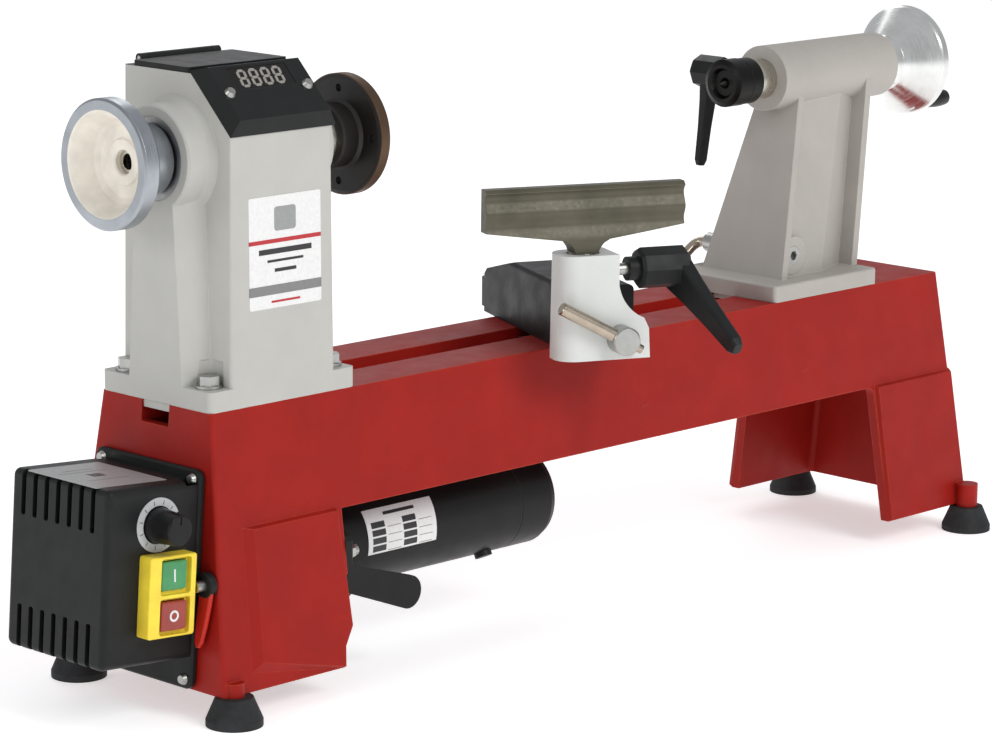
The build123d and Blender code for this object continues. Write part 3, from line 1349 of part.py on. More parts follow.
quill_hub_y = 34.0
quill_hub_end = 69.0
quill_lever_root = Vector(lock_x + 1, 56, lock_z - 2)
quill_lever_reach = Vector(lock_x - 4, 60, lock_z - 67) - quill_lever_root
quill_lever_sections = ((0.0, 9.0, 16.0), (0.3, 8.0, 11.5), (0.6, 7.0, 9.5), (0.97, 6.5, 8.5),
                        (1.03, 4.8, 6.0))
quill_stud_radius = stud_radius

with BuildPart() as quill_lock_lever:
    with BuildSketch(Plane(origin=(lock_x, quill_hub_y + 6, lock_z), x_dir=(1, 0, 0), z_dir=(0, 1, 0))):
        RegularPolygon(12.0, 8)
    extrude(amount=quill_hub_end - quill_hub_y - 6)
    chamfer(quill_lock_lever.faces().sort_by(Axis.Y)[-1].edges(), 4)
    chamfer(quill_lock_lever.faces().sort_by(Axis.Y)[0].edges(), 2)
    with BuildSketch(Plane(origin=(lock_x, quill_hub_y, lock_z), x_dir=(1, 0, 0), z_dir=(0, 1, 0))):
        Circle(8)
    extrude(amount=8)
    for share, thickness, width in quill_lever_sections:
        middle = quill_lever_root + quill_lever_reach * share
        with BuildSketch(within(Plane.XY, middle.X, middle.Y, middle.Z, tuple(quill_lever_reach), (1, 0, 0))):
            RectangleRounded(width, thickness, 1.8)
    loft(ruled=True)
    # stud into the barrel, its tip in the quill's groove
    with BuildSketch(Plane(origin=(lock_x, quill_radius + 0.4, lock_z), x_dir=(1, 0, 0), z_dir=(0, 1, 0))):
        Circle(quill_stud_radius)
    extrude(amount=quill_hub_y - quill_radius)
    with BuildSketch(Plane(origin=(lock_x, quill_radius - groove_depth + 0.5, lock_z), x_dir=(1, 0, 0),
                           z_dir=(0, 1, 0))):
        Circle(1.8)
    extrude(amount=groove_depth)
quill_lock_lever.part.label = "quill_lock_lever"
export_step(quill_lock_lever.part, "parts/quill_lock_lever.step")

# ---------------------------------------------------------------- live centre
centre_tip = 171.3
cup_left = 175.0
cup_right = 190.6
cup_radius = 17.0
centre_bore = 5.0
centre_bore_right = 226.0

with BuildPart() as live_centre_shank:
    with BuildSketch(spindle_section):
        Polygon((cup_right + 0.4, centre_bore + fit), (cup_right + 0.4, 16), (cup_right + 1, 16.5),
                (202, 16.5), (203, 15.5), (203, socket_large - 0.02), (quill_left, socket_large - 0.02),
                (quill_left + 60, socket_small + 0.06), (quill_left + 61, socket_small - 1),
                (quill_left + 61, 0), (centre_bore_right, 0), (centre_bore_right, centre_bore + fit),
                align=None)
    revolve(axis=spindle_axis)
live_centre_shank.part.label = "live_centre_shank"
export_step(live_centre_shank.part, "parts/live_centre_shank.step")

with BuildPart() as live_centre_cup:
    with BuildSketch(spindle_section):
        Polygon((centre_tip, 0), (178.4, 4), (178.4, 9), (cup_left, 11), (cup_left, 13.5),
                (cup_left + 1.8, cup_radius),
                (cup_right - 0.6, cup_radius), (cup_right, cup_radius - 0.6), (cup_right, centre_bore),
                (centre_bore_right - 0.4, centre_bore), (centre_bore_right - 0.4, 0), align=None)
    revolve(axis=spindle_axis)
live_centre_cup.part.label = "live_centre_cup"
export_step(live_centre_cup.part, "parts/live_centre_cup.step")
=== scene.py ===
import json
from math import cos, radians, sin

import bmesh
import bpy
from mathutils import Matrix, Vector


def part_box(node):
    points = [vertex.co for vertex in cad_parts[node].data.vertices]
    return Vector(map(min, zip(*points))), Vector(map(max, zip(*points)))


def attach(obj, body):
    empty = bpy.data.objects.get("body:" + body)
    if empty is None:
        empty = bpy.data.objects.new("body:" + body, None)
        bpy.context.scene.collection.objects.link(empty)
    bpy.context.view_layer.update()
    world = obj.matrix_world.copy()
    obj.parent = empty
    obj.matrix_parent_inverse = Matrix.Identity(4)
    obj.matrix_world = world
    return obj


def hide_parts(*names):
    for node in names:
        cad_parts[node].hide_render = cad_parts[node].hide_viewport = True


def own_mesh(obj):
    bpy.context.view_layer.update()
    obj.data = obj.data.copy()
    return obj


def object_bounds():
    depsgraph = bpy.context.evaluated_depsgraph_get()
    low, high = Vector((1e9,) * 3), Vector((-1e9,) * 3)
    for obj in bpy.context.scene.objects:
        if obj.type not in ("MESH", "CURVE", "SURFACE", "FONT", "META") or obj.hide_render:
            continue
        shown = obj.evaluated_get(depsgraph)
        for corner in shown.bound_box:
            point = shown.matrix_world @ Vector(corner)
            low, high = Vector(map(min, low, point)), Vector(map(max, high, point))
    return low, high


# Bench-top wood lathe. The CAD model gives every shape and place; this script gives the finishes,
# the printed and moulded details that lie on the surfaces, the floor, the lights and the camera.
# Everything is in metres, in the CAD model's frame: +X along the spindle, -Y to the operator, +Z up.
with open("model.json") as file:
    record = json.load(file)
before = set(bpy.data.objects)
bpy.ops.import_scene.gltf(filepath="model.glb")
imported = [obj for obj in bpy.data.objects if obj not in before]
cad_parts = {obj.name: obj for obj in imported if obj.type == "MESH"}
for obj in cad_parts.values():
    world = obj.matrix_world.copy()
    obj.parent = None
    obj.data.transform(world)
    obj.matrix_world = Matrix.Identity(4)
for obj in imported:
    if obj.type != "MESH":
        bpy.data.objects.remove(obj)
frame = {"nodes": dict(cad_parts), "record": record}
cad_low, cad_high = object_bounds()
nodes = frame["nodes"]
record = frame["record"]
scene = bpy.context.scene
mm = 0.001
bevel_samples = 6           # rays per shading point for the rounded edges


# ---------------------------------------------------------------- shader helpers
def display(red, green, blue):
    """Linear colour of display values from 0 to 255."""
    def linear(value):
        value /= 255
        return value / 12.92 if value <= 0.04045 else ((value + 0.055) / 1.055) ** 2.4
    return (linear(red), linear(green), linear(blue), 1)


def scaled(colour, factor):
    """The colour made lighter or darker."""
    return tuple(min(1, part * factor) for part in colour[:3]) + (1,)


class Shader:
    """A new material, with short calls that add linked nodes to it."""

    def __init__(self, name):
        self.material = bpy.data.materials.new(name)
        self.material.use_nodes = True
        self.tree = self.material.node_tree
        self.surface = self.tree.nodes["Principled BSDF"]
        self.place = self.add("ShaderNodeTexCoord").outputs["Object"]

    def add(self, kind, **settings):
        node = self.tree.nodes.new(kind)
        for key, value in settings.items():
            setattr(node, key, value)
        return node

    def feed(self, socket, value):
        """Links an output to the socket, or sets a plain value on it."""
        if isinstance(value, bpy.types.NodeSocket):
            self.tree.links.new(value, socket)
        else:
            socket.default_value = value

    def noise(self, scale, detail, stretch=(1, 1, 1), roughness=0.5):
        """Noise in the part's own coordinates; scale is in cells per metre."""
        place = self.add("ShaderNodeMapping")
        self.feed(place.inputs["Vector"], self.place)
        place.inputs["Scale"].default_value = stretch
        noise = self.add("ShaderNodeTexNoise")
        self.feed(noise.inputs["Vector"], place.outputs["Vector"])
        noise.inputs["Scale"].default_value = scale
        noise.inputs["Detail"].default_value = detail
        noise.inputs["Roughness"].default_value = roughness
        return noise.outputs["Fac"]

    def between(self, factor, low, high, start=0.3, end=0.7):
        """A number that goes from low to high as the factor goes from start to end."""
        node = self.add("ShaderNodeMapRange")
        self.feed(node.inputs["Value"], factor)
        node.inputs["From Min"].default_value = start
        node.inputs["From Max"].default_value = end
        node.inputs["To Min"].default_value = low
        node.inputs["To Max"].default_value = high
        return node.outputs["Result"]

    def mix(self, factor, first, second):
        """The first colour where the factor is 0, the second where it is 1."""
        node = self.add("ShaderNodeMix", data_type="RGBA")
        # the node keeps a set of sockets per data type; these are the colour ones
        factor_in, first_in, second_in, colour_out = 0, 6, 7, 2
        self.feed(node.inputs[factor_in], factor)
        self.feed(node.inputs[first_in], first)
        self.feed(node.inputs[second_in], second)
        return node.outputs[colour_out]

    def math(self, operation, first, second):
        node = self.add("ShaderNodeMath", operation=operation)
        self.feed(node.inputs[0], first)
        self.feed(node.inputs[1], second)
        return node.outputs[0]

    def rounded(self, radius):
        """The normal of the surface as if its edges were rounded."""
        node = self.add("ShaderNodeBevel", samples=bevel_samples)
        node.inputs["Radius"].default_value = radius
        return node.outputs["Normal"]

    def edges(self, rounded, start=0.02, end=0.25):
        """1 on sharp edges, falling to 0 on flat faces."""
        dot = self.add("ShaderNodeVectorMath", operation="DOT_PRODUCT")
        self.feed(dot.inputs[0], rounded)
        self.feed(dot.inputs[1], self.add("ShaderNodeNewGeometry").outputs["Normal"])
        tilt = self.math("SUBTRACT", 1.0, dot.outputs["Value"])
        return self.between(tilt, 0.0, 1.0, start, end)

    def bump(self, height, depth, normal):
        """The normal with a relief of that depth in metres laid over it."""
        node = self.add("ShaderNodeBump")
        node.inputs["Strength"].default_value = 1.0
        node.inputs["Distance"].default_value = depth
        self.feed(node.inputs["Height"], height)
        self.feed(node.inputs["Normal"], normal)
        return node.outputs["Normal"]

    def along(self, axis):
        """The place's coordinate along X, Y or Z (0, 1 or 2)."""
        parts = self.add("ShaderNodeSeparateXYZ")
        self.feed(parts.inputs[0], self.place)
        return parts.outputs[axis]

    def both(self, first, second):
        """The product: two masks where they overlap, or a number where a mask is on."""
        return self.math("MULTIPLY", first, second)

    def radius(self, centre_z):
        """Distance from the axis along X at y = 0 and that height."""
        across = self.along(1)
        up = self.math("SUBTRACT", self.along(2), centre_z)
        squares = self.math("ADD", self.both(across, across), self.both(up, up))
        return self.math("SQRT", squares, 0.0)

    def around_x(self):
        """Tangent round the X axis, for turned surfaces."""
        return self.add("ShaderNodeTangent", direction_type="RADIAL", axis="X").outputs["Tangent"]

    def finish(self, **sockets):
        """Sets or links the principled shader's sockets, named with _ for a space."""
        for key, value in sockets.items():
            self.feed(self.surface.inputs[key.replace("_", " ")], value)
        return self.material


# ---------------------------------------------------------------- finishes
def painted(name, colour, rough, edge_wear_and_highlight_colour, blotch=0.10, shine=0.3, cast=0.0, black_above=None):
    """Sprayed enamel: faint blotches, orange peel, and paler edges, partly thin rubbed paint and partly
    a painted highlight.

    cast is the depth of a sandy casting under the paint; black_above is the height where black
    paint takes over.
    """
    orange_peel = 0.06 * mm
    s = Shader(name)
    rounded = s.rounded(1.2 * mm)
    blotches = s.noise(26, 5, roughness=0.6)
    base = s.mix(s.between(blotches, 0, 1), scaled(colour, 1 - blotch), scaled(colour, 1 + blotch))
    # paler edges: partly rubbed, thin paint and partly a painted highlight where light catches the
    # rounded edge
    edge_wear_and_highlight = s.both(s.edges(rounded, 0.006, 0.14), s.between(s.noise(160, 4), 0.35, 1.0))
    base = s.mix(edge_wear_and_highlight, base, edge_wear_and_highlight_colour)
    if black_above:
        base = s.mix(s.math("GREATER_THAN", s.along(2), black_above), base, display(26, 26, 27))
    skin = s.bump(s.noise(520, 2), orange_peel, rounded)
    if cast:
        skin = s.bump(s.noise(130, 4), cast, skin)
    return s.finish(Base_Color=base, Roughness=s.between(s.noise(60, 4), rough - 0.06, rough + 0.08),
                    Normal=skin, Specular_IOR_Level=shine)


def turned(name, colour, rough, special=None):
    """Metal turned or ground about X: fine rings, a light stain and a painted highlight along the
    edges.

    special gives the mask, colour and roughness of an area with another, non-metallic finish.
    """
    ring_depth = 0.006 * mm
    stain = 0.10
    s = Shader(name)
    rounded = s.rounded(0.4 * mm)
    rings = s.noise(900, 2, stretch=(1, 0.25, 0.25))
    base = s.mix(s.between(s.noise(45, 4), 0, 1), scaled(colour, 1 - stain), scaled(colour, 1 + stain))
    # painted highlight: the edges made paler than the faces
    base = s.mix(s.edges(rounded), base, scaled(colour, 1.25))
    dull = s.between(s.noise(300, 3, stretch=(4, 0.3, 0.3)), rough - 0.06, rough + 0.08)
    metal = 1.0
    if special:
        mask, paint, paint_rough = special(s)
        grain = s.mix(s.between(s.noise(60, 4), 0, 1), scaled(paint, 0.85), scaled(paint, 1.1))
        base = s.mix(mask, base, grain)
        dull = s.math("MAXIMUM", dull, s.both(mask, paint_rough))
        metal = s.math("SUBTRACT", 1.0, mask)
    return s.finish(Base_Color=base, Metallic=metal, Roughness=dull, Anisotropic=0.55,
                    Tangent=s.around_x(), Normal=s.bump(rings, ring_depth, rounded))


def wheel_cup(s):
    """Inside of the outboard handwheel: pale warm casting, not turned bright."""
    bright_rim = 7.2 * mm
    cup_depth = 20.5 * mm
    low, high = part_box("outboard_handwheel")
    centre_z = (low.z + high.z) / 2
    rim = (high.z - low.z) / 2
    within = s.math("LESS_THAN", s.radius(centre_z), rim - bright_rim)
    deep = s.math("LESS_THAN", s.along(0), low.x + cup_depth)
    return s.both(within, deep), display(236, 230, 218), 0.5


def plate_back(s):
    """Back and hub of the faceplate: blackened, with a bare rim and front."""
    bare_rim = 0.8 * mm
    bare_front = 0.5 * mm
    low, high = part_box("faceplate")
    centre_z = (low.z + high.z) / 2
    rim = (high.z - low.z) / 2
    within = s.math("LESS_THAN", s.radius(centre_z), rim - bare_rim)
    behind = s.math("LESS_THAN", s.along(0), high.x - bare_front)
    return s.both(within, behind), display(30, 26, 24), 0.45


def plated(name, colour, rough):
    """Plated steel, as on bolts and bright handles: soft mottling and small scuffs."""
    stain = 0.10
    s = Shader(name)
    rounded = s.rounded(0.35 * mm)
    mottle = s.noise(120, 3)
    base = s.mix(s.between(mottle, 0, 1), scaled(colour, 1 - stain), scaled(colour, 1 + stain))
    return s.finish(Base_Color=base, Metallic=1.0,
                    Roughness=s.between(s.noise(90, 3), rough - 0.05, rough + 0.08),
                    Normal=s.bump(s.noise(300, 2), 0.004 * mm, rounded))


def cast_iron(name, colour, rough, metal=0.35, depth=0.18 * mm):
    """Bare or thinly painted casting with a sandy skin, and paler edges, partly rubbed metal and partly
    a painted highlight.
    """
    s = Shader(name)
    rounded = s.rounded(0.8 * mm)
    sand = s.noise(380, 5, roughness=0.65)
    base = s.mix(s.between(s.noise(40, 5), 0, 1), scaled(colour, 0.8), scaled(colour, 1.2))
    # paler edges: partly rubbed metal and partly a painted highlight
    base = s.mix(s.edges(rounded), base, scaled(colour, 1.7))
    return s.finish(Base_Color=base, Metallic=metal,
                    Roughness=s.between(sand, rough - 0.08, rough + 0.08),
                    Normal=s.bump(sand, depth, rounded), Specular_IOR_Level=0.3)


def moulded(name, colour, rough, texture=0.03 * mm, shine=0.22):
    """Injection-moulded plastic: spark-eroded texture, softened edges with a painted highlight along
    them, faint scuffs.
    """
    s = Shader(name)
    rounded = s.rounded(0.6 * mm)
    base = s.mix(s.between(s.noise(70, 5), 0, 1), scaled(colour, 0.88), scaled(colour, 1.12))
    # painted highlight: the edges made paler than the faces
    base = s.mix(s.edges(rounded), base, scaled(colour, 1.5))
    return s.finish(Base_Color=base, Roughness=s.between(s.noise(90, 4), rough - 0.06, rough + 0.06),
                    Normal=s.bump(s.noise(900, 2), texture, rounded), Specular_IOR_Level=shine)


def rubber(name, colour, rough=0.7):
    """Matt rubber with a dusty bloom."""
    s = Shader(name)
    rounded = s.rounded(0.6 * mm)
    bloom = s.between(s.noise(55, 5, roughness=0.65), 0, 1)
    base = s.mix(bloom, colour, scaled(colour, 2.0))
    return s.finish(Base_Color=base, Roughness=s.between(s.noise(200, 3), rough - 0.08, rough + 0.1),
                    Normal=s.bump(s.noise(700, 3), 0.04 * mm, rounded), Specular_IOR_Level=0.25)


def printed(name, colour, rough=0.4):
    """Ink or film on a label: nearly even, with a faint grain."""
    s = Shader(name)
    base = s.mix(s.between(s.noise(500, 3), 0, 1), scaled(colour, 0.94), scaled(colour, 1.04))
    return s.finish(Base_Color=base, Roughness=s.between(s.noise(300, 3), rough - 0.05, rough + 0.08))


black = display(28, 29, 29)
smooth = 0.01 * mm          # depth of the texture on smooth plastic, and on glossy plastic
glossy = 0.002 * mm
cover_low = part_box("belt_cover")[0].z       # the headstock is black from just under its cover
finishes = {
    "red_paint": painted("red enamel", display(154, 27, 19), 0.45, display(200, 78, 50), shine=0.18),
    "headstock_paint": painted("grey enamel", display(188, 187, 181), 0.42, display(216, 215, 209),
                               blotch=0.04, cast=0.06 * mm, black_above=cover_low - 0.3 * mm),
    "tailstock_paint": painted("warm grey enamel", display(176, 171, 164), 0.45,
                               display(206, 202, 194), blotch=0.05, cast=0.06 * mm),
    "banjo_paint": painted("pale enamel", display(214, 216, 212), 0.4, display(236, 237, 234),
                           blotch=0.04, cast=0.12 * mm),
    "arm_iron": painted("black enamel", display(18, 18, 19), 0.42, display(62, 62, 62),
                        blotch=0.15, shine=0.2, cast=0.12 * mm),
    "black_paint": painted("black motor enamel", display(24, 24, 24), 0.4, display(60, 60, 60),
                           blotch=0.15, shine=0.2),
    "red_lever": painted("red lever enamel", display(190, 40, 28), 0.32, display(215, 80, 60)),
    "black_rubber": rubber("foot rubber", display(34, 35, 36)),
    "belt_rubber": rubber("belt rubber", display(30, 30, 30), 0.75),
    "zinc_steel": plated("zinc plate", display(176, 176, 172), 0.34),
    "nickel_steel": plated("nickel plate", display(178, 166, 150), 0.26),
    "bearing_steel": plated("bearing steel", display(190, 190, 190), 0.2),
    "shield_steel": plated("bearing shield", display(160, 160, 160), 0.36),
    "ground_steel": turned("ground steel", display(206, 202, 190), 0.26),
    "black_steel": turned("blackened steel", display(42, 41, 40), 0.38),
    "pulley_aluminium": turned("turned aluminium", display(200, 200, 201), 0.3),
    "wheel_steel": turned("wheel steel", display(168, 173, 178), 0.32, special=wheel_cup),
    "faceplate_iron": turned("faceplate iron", display(104, 84, 68), 0.42, special=plate_back),
    "polished_steel": turned("polished steel", display(228, 229, 226), 0.2),
    "clamp_iron": cast_iron("clamp iron", display(84, 84, 82), 0.6),
    "rest_iron": cast_iron("tool rest iron", display(88, 84, 70), 0.42, metal=0.25, depth=0.06 * mm),
    "readout_plastic": moulded("readout plastic", black, 0.42),
    "black_plastic": moulded("black plastic", black, 0.46),
    "knob_plastic": moulded("knob plastic", display(24, 24, 25), 0.34, texture=smooth),
    "display_plastic": moulded("display window", display(22, 20, 20), 0.2, texture=glossy, shine=0.3),
    "board_green": moulded("circuit board", display(24, 92, 52), 0.4),
    "yellow_plastic": moulded("yellow plastic", display(252, 218, 66), 0.32, texture=smooth, shine=0.4),
    "green_plastic": moulded("green plastic", display(70, 146, 92), 0.28, texture=smooth, shine=0.4),
    "stop_plastic": moulded("red plastic", display(158, 66, 58), 0.28, texture=smooth, shine=0.4),
}
for part in record["subparts"]:
    for held in nodes[part["node"]].material_slots:
        held.material = finishes[part["material_slot"]]

ink_white = printed("white film", display(232, 232, 230))
ink_red = printed("red ink", display(186, 38, 44))
ink_grey = printed("grey ink", display(128, 128, 128))
ink_black = printed("black ink", display(40, 40, 42))
ink_silver = printed("silver film", display(152, 153, 152), 0.35)
segment_grey = printed("display segment", display(152, 148, 140), 0.3)
dial_white = printed("dial print", display(190, 192, 192))


# ---------------------------------------------------------------- pieces laid on a surface
def touch(node, start, direction):
    """Point and normal where a line meets a CAD node."""
    hit, point, normal, _ = nodes[node].ray_cast(Vector(start), Vector(direction))
    if not hit:
        raise ValueError("no surface of " + node + " there")
    return point, normal


def on_face(point, normal, right):
    """Placement with x to the right, y up the face and z out of it."""
    z = normal.normalized()
    x = (Vector(right) - z * z.dot(Vector(right))).normalized()
    y = z.cross(x)
    place = Matrix((x, y, z)).transposed().to_4x4()
    place.translation = point
    return place


def flat(place):
    """Maps a flat layout onto the face at that placement."""
    return lambda x, y, z: place @ Vector((x, y, z))


def prism(bm, outline, low, high, onto, material):
    """A closed slab over an outline, between two heights."""
    bottom = [bm.verts.new(onto(x, y, low)) for x, y in outline]
    top = [bm.verts.new(onto(x, y, high)) for x, y in outline]
    count = len(outline)
    faces = [bm.faces.new(top), bm.faces.new(bottom[::-1])]
    for i in range(count):
        j = (i + 1) % count
        faces.append(bm.faces.new((bottom[i], bottom[j], top[j], top[i])))
    for face in faces:
        face.material_index = material


def band(bm, first, second, low, high, onto, material, closed=False):
    """A closed slab between two lines with the same number of points."""
    rows = [[bm.verts.new(onto(x, y, h)) for x, y in line]
            for line, h in ((first, low), (second, low), (second, high), (first, high))]
    count = len(first)
    for i in range(count if closed else count - 1):
        j = (i + 1) % count
        for row in range(4):
            here, there = rows[row], rows[(row + 1) % 4]
            bm.faces.new((here[i], here[j], there[j], there[i])).material_index = material
    if not closed:
        bm.faces.new([row[0] for row in rows]).material_index = material
        bm.faces.new([row[-1] for row in rows][::-1]).material_index = material


def rectangle(left, low, right, high):
    return [(left, low), (right, low), (right, high), (left, high)]


def rounded_rectangle(left, low, right, high, radius, steps=5):
    points = []
    corners = ((right - radius, high - radius, 0), (left + radius, high - radius, 90),
               (left + radius, low + radius, 180), (right - radius, low + radius, 270))
    for x, y, start in corners:
        for i in range(steps + 1):
            angle = radians(start + 90 * i / steps)
            points.append((x + radius * cos(angle), y + radius * sin(angle)))
    return points


def arc(radius, start, end, steps):
    """Points on an arc about the origin, angles in degrees."""
    angles = [radians(start + (end - start) * i / steps) for i in range(steps + 1)]
    return [(radius * cos(a), radius * sin(a)) for a in angles]


def piece(name, bm, materials, body):
    """The mesh as a named object that rides on a CAD body."""
    bmesh.ops.recalc_face_normals(bm, faces=bm.faces)
    mesh = bpy.data.meshes.new(name)
    bm.to_mesh(mesh)
    bm.free()
    for material in materials:
        mesh.materials.append(material)
    made = bpy.data.objects.new(name, mesh)
    scene.collection.objects.link(made)
    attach(made, body)
    return made


film = 0.25 * mm            # thickness of a label
ink = 0.08 * mm             # thickness of what is printed on it
sunk = -0.1 * mm            # how far a mark without a film reaches into its part
near = 20 * mm              # how far off its face a ray starts
far = 50 * mm


def middle_of(low, high):
    return (low + high) / 2


def headstock_label():
    """Rating label on the front of the headstock, with plain bars where lettering would be."""
    white, red, grey, dark, silver = range(5)
    half_wide = 30 * mm
    half_tall = 35 * mm
    corner = 1.5 * mm
    low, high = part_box("headstock_casting")
    middle = middle_of(low, high)
    start = Vector((middle.x + 2 * mm, low.y - far, middle.z - 8.5 * mm))
    point, normal = touch("headstock_casting", start, (0, 1, 0))
    onto = flat(on_face(point, normal, (1, 0, 0)))
    bm = bmesh.new()
    prism(bm, rounded_rectangle(-half_wide, -half_tall, half_wide, half_tall, corner),
          -film, film, onto, white)
    top = film + ink
    prism(bm, rectangle(-half_wide, 5.6 * mm, half_wide, 8.2 * mm), 0, top, onto, red)
    prism(bm, rectangle(-half_wide, -26.5 * mm, half_wide, -20.5 * mm), 0, top, onto, grey)
    prism(bm, rounded_rectangle(-9 * mm, 13 * mm, 9 * mm, 28 * mm, 2 * mm), 0, top, onto, silver)
    # each bar's level on the label, its reach to either side and its height, in millimetres
    bars = ((0.5, 22, 3.4, dark), (-5.5, 15, 1.6, dark), (-11.5, 9, 2.2, dark), (-31, 12, 1.4, red))
    for level, reach, tall, tone in bars:
        bar = rectangle(-reach * mm, (level - tall / 2) * mm, reach * mm, (level + tall / 2) * mm)
        prism(bm, bar, 0, top, onto, tone)
    piece("headstock_label", bm, [ink_white, ink_red, ink_grey, ink_black, ink_silver], "frame")


def readout_digits():
    """Four unlit seven-segment digits on the readout window, every segment showing."""
    digits = 4
    pitch = 9.6 * mm
    wide = 7.4 * mm
    tall = 11.8 * mm
    stroke = 2.0 * mm
    lean = 0.12
    gap = 0.15 * mm
    bottom = -0.05 * mm
    top = 0.12 * mm
    low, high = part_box("readout_window")
    out = Vector((0, -1, 1)).normalized()
    point, normal = touch("readout_window", middle_of(low, high) + out * far, -out)
    onto = flat(on_face(point, normal, (1, 0, 0)))

    def segment(bm, x, y, length, upright):
        half = length / 2 - gap
        thick = stroke / 2
        ends = [(-half, 0), (-half + thick, thick), (half - thick, thick), (half, 0),
                (half - thick, -thick), (-half + thick, -thick)]
        points = [(v, u) if upright else (u, v) for u, v in ends]
        prism(bm, [(x + u + lean * (y + v), y + v) for u, v in points], bottom, top, onto, 0)

    bm = bmesh.new()
    for place in range(digits):
        x = (place - (digits - 1) / 2) * pitch
        for y in (-tall / 2, 0, tall / 2):
            segment(bm, x, y, wide - stroke, False)
        for side in (-1, 1):
            for y in (-tall / 4, tall / 4):
                segment(bm, x + side * (wide - stroke) / 2, y, tall / 2, True)
    piece("readout_digits", bm, [segment_grey], "frame")


def speed_dial():
    """Printed scale round the speed knob, open at the lower right, with nine marks on it."""
    white, dark = range(2)
    outer = 17 * mm
    inner = 12 * mm
    marks = 9
    low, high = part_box("speed_knob")
    centre = middle_of(low, high)
    start = Vector((centre.x, low.y - near, centre.z + 16 * mm))
    point, normal = touch("control_box", start, (0, 1, 0))
    place = on_face(point, normal, (1, 0, 0))
    place.translation = Vector((centre.x, point.y, centre.z))
    onto = flat(place)
    bm = bmesh.new()
    band(bm, arc(inner, 20, 310, 58), arc(outer, 20, 310, 58), sunk, 0.35 * mm, onto, white)
    for i in range(marks):
        angle = 40 + i * 250 / (marks - 1)
        inside = arc(inner + 0.8 * mm, angle - 1.2, angle + 1.2, 1)
        outside = arc(outer - 1.6 * mm, angle - 0.8, angle + 0.8, 1)
        band(bm, inside, outside, 0.3 * mm, 0.42 * mm, onto, dark)
    piece("speed_dial", bm, [dial_white, ink_black], "frame")


def button_marks():
    """The line of the start button and the ring of the stop button."""
    top = 0.15 * mm
    for node, mark in (("start_button", "line"), ("stop_button", "ring")):
        low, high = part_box(node)
        centre = middle_of(low, high)
        point, normal = touch(node, (centre.x, low.y - near, centre.z), (0, 1, 0))
        onto = flat(on_face(point, normal, (1, 0, 0)))
        bm = bmesh.new()
        if mark == "line":
            prism(bm, rectangle(-0.6 * mm, -4 * mm, 0.6 * mm, 4 * mm), sunk, top, onto, 0)
        else:
            # closed joins 350 degrees to 0
            band(bm, arc(2.2 * mm, 0, 350, 35), arc(3.6 * mm, 0, 350, 35), sunk, top, onto, 0,
                 closed=True)
        piece(node + "_mark", bm, [ink_white], node)


def box_label():
    """Silver label on top of the control box, with three grey lines and a black block."""
    silver, grey, dark = range(3)
    half_y = 33 * mm
    corner = 1.5 * mm
    low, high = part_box("control_box")
    plate_low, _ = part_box("control_box_plate")
    left = low.x + 7 * mm
    right = plate_low.x - 6 * mm
    half_x = (right - left) / 2
    start = Vector(((left + right) / 2, (low.y + high.y) / 2 - 2 * mm, high.z + near))
    point, normal = touch("control_box", start, (0, 0, -1))
    onto = flat(on_face(point, normal, (1, 0, 0)))
    bm = bmesh.new()
    prism(bm, rounded_rectangle(-half_x, -half_y, half_x, half_y, corner), -film, film, onto, silver)
    # each line's level and its reach to either side of x = -2, in millimetres
    for level, reach in ((17, 12), (11, 19), (-13, 16)):
        line = rectangle((-reach - 2) * mm, (level - 0.8) * mm, (reach - 2) * mm, (level + 0.8) * mm)
        prism(bm, line, 0, film + ink, onto, grey)
    prism(bm, rectangle(-6 * mm, -4 * mm, 4 * mm, 4 * mm), 0, film + ink, onto, dark)
    piece("control_box_label", bm, [ink_silver, ink_grey, ink_black], "frame")


def motor_label():
    """Rating plate wrapped round the motor, with plain dark blocks and rules for its table."""
    white, dark = range(2)
    facing = radians(13.3)        # how far above level the plate's middle looks
    facet = 1.5 * mm              # longest straight step round the motor
    rows = 4
    low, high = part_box("motor_housing")
    middle_x = low.x + 75.5 * mm
    axis_y = (low.y + high.y) / 2
    axis_z = (low.z + high.z) / 2
    radius = (high.z - low.z) / 2
    top = film + ink

    def onto(x, y, z):
        angle = facing + y / radius
        reach = radius + z
        return Vector((middle_x + x, axis_y - reach * cos(angle), axis_z + reach * sin(angle)))

    def block(bm, left, low_edge, right, high_edge, bottom, top, tone):
        steps = max(2, round((high_edge - low_edge) / facet))
        levels = [low_edge + (high_edge - low_edge) * i / steps for i in range(steps + 1)]
        band(bm, [(left, y) for y in levels], [(right, y) for y in levels], bottom, top, onto, tone)

    bm = bmesh.new()
    block(bm, -31 * mm, -15 * mm, 31 * mm, 15 * mm, sunk, film, white)
    # columns of filled cells, then columns of single rules: ends in x, then edges from the row's level
    for columns, under, over in ((((-27, -15), (1, 13)), 2, 2), (((-13, -1), (15, 27)), 2.6, -2.3)):
        for left, right in columns:
            for row in range(rows):
                y = (4 - row * 5.2) * mm
                block(bm, left * mm, y - under * mm, right * mm, y + over * mm, 0, top, dark)
    block(bm, -14 * mm, 9.5 * mm, 14 * mm, 11.7 * mm, 0, top, dark)
    piece("motor_label", bm, [ink_white, ink_black], "motor")


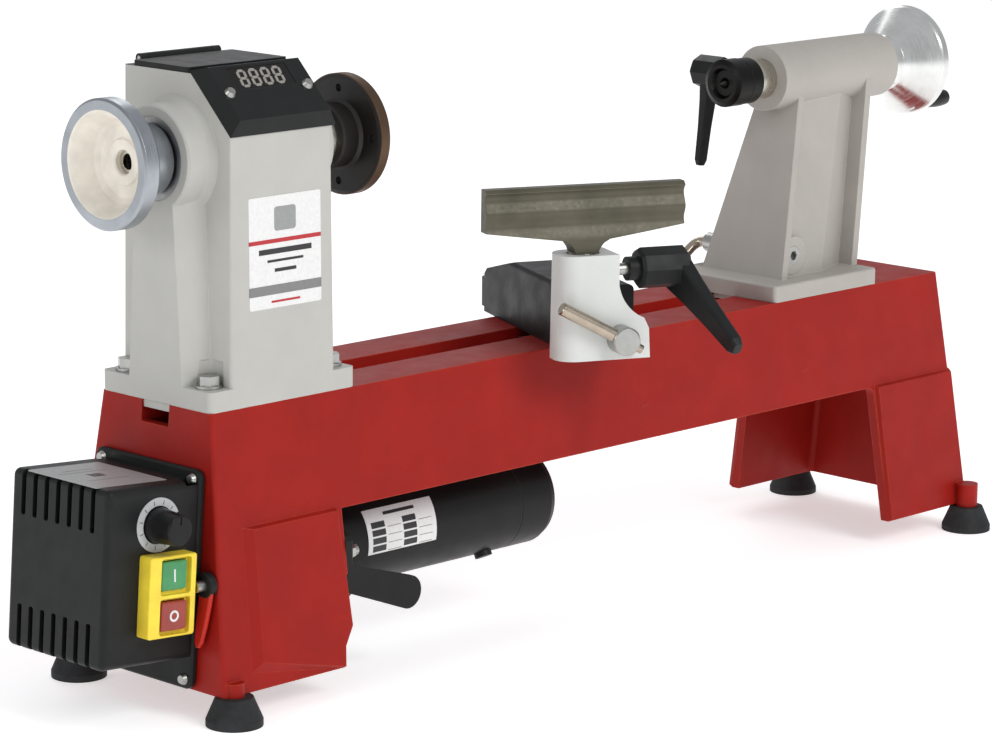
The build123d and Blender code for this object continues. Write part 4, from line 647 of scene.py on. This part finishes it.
def drive_belt():
    """Ribbed belt over both pulleys."""
    thick = 3.6 * mm
    depth = 1.0 * mm              # of the grooves between the ribs
    ribs = 5
    step = 6                      # degrees between two rings round a pulley
    low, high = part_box("drive_belt")
    spindle_low, spindle_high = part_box("spindle_pulley")
    motor_low, motor_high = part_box("motor_pulley")
    upper_z = (spindle_low.z + spindle_high.z) / 2
    lower_z = (motor_low.z + motor_high.z) / 2
    upper = high.z - upper_z
    lower = lower_z - low.z
    wide = high.x - low.x
    # the section goes along the flat outside, then back over the ribs: x and distance inwards
    section = [(low.x, 0), (high.x, 0)]
    for i in range(2 * ribs + 1):
        section.append((high.x - wide * i / (2 * ribs), thick - (0 if i % 2 else depth)))
    path = [(radius * cos(radians(a)), centre + radius * sin(radians(a)), radians(a))
            for radius, centre, start in ((upper, upper_z, 0), (lower, lower_z, 180))
            for a in range(start, start + 181, step)]
    bm = bmesh.new()
    rings = [[bm.verts.new((x, y - inward * cos(a), z - inward * sin(a))) for x, inward in section]
             for y, z, a in path]
    for i, ring in enumerate(rings):
        following = rings[(i + 1) % len(rings)]
        for j in range(len(section)):
            k = (j + 1) % len(section)
            bm.faces.new((ring[j], ring[k], following[k], following[j]))
    belt = piece("ribbed_belt", bm, [finishes["belt_rubber"]], "frame")
    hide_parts("drive_belt")
    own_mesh(belt)


headstock_label()
readout_digits()
drive_belt()
speed_dial()
button_marks()
box_label()
motor_label()


# ---------------------------------------------------------------- floor, lights, camera
def floor():
    """Pale floor that glows a little, so that it fades into the white surroundings."""
    bm = bmesh.new()
    bmesh.ops.create_grid(bm, x_segments=1, y_segments=1, size=30)
    mesh = bpy.data.meshes.new("floor")
    bm.to_mesh(mesh)
    bm.free()
    made = bpy.data.objects.new("floor", mesh)
    scene.collection.objects.link(made)
    s = Shader("pale floor")
    pale = s.mix(s.noise(3, 3), (0.93, 0.93, 0.93, 1), (0.95, 0.95, 0.95, 1))
    mesh.materials.append(s.finish(Base_Color=pale, Roughness=0.85, Emission_Strength=0.5,
                                   Emission_Color=(1, 1, 1, 1), Specular_IOR_Level=0.2))


def softbox(name, place, target, size, power):
    """Round white lamp; size is its diameter in metres and power is in watts."""
    light = bpy.data.lights.new(name, "AREA")
    light.shape = "DISK"
    light.size = size
    light.energy = power
    made = bpy.data.objects.new(name, light)
    made.location = place
    made.rotation_mode = "QUATERNION"
    made.rotation_quaternion = (Vector(target) - Vector(place)).to_track_quat("-Z", "Y")
    scene.collection.objects.link(made)


def camera():
    """Camera at the height, distance and angle that show the lathe from its left front."""
    azimuth = radians(45.709)       # from +Y towards +X
    elevation = radians(11.705)     # how far it looks down
    roll = radians(0.459)
    ahead = Vector((sin(azimuth) * cos(elevation), cos(azimuth) * cos(elevation), -sin(elevation)))
    level = Vector((cos(azimuth), -sin(azimuth), 0))
    upright = level.cross(ahead)
    right = level * cos(roll) + upright * sin(roll)
    up = upright * cos(roll) - level * sin(roll)
    data = bpy.data.cameras.new("camera")
    data.sensor_width = 36
    data.lens = 136.9
    data.clip_end = 100
    made = bpy.data.objects.new("camera", data)
    made.rotation_mode = "QUATERNION"
    made.rotation_quaternion = Matrix((right, up, -ahead)).transposed().to_quaternion()
    made.location = (-1.8457, -1.7492, 0.6874)
    scene.collection.objects.link(made)
    scene.camera = made


floor()
middle = (cad_low + cad_high) / 2
softbox("key", (0.0, -2.7, 2.2), middle, 1.6, 42)
softbox("side", (-2.8, 0.2, 1.2), middle, 1.2, 11)
softbox("back", (1.4, 2.2, 2.4), middle, 1.6, 14)
world = bpy.data.worlds.new("studio")
scene.world = world
world.use_nodes = True
background = world.node_tree.nodes["Background"]
background.inputs["Color"].default_value = (0.95, 0.96, 1.0, 1)
background.inputs["Strength"].default_value = 0.5
scene.view_settings.view_transform = "Standard"
camera()
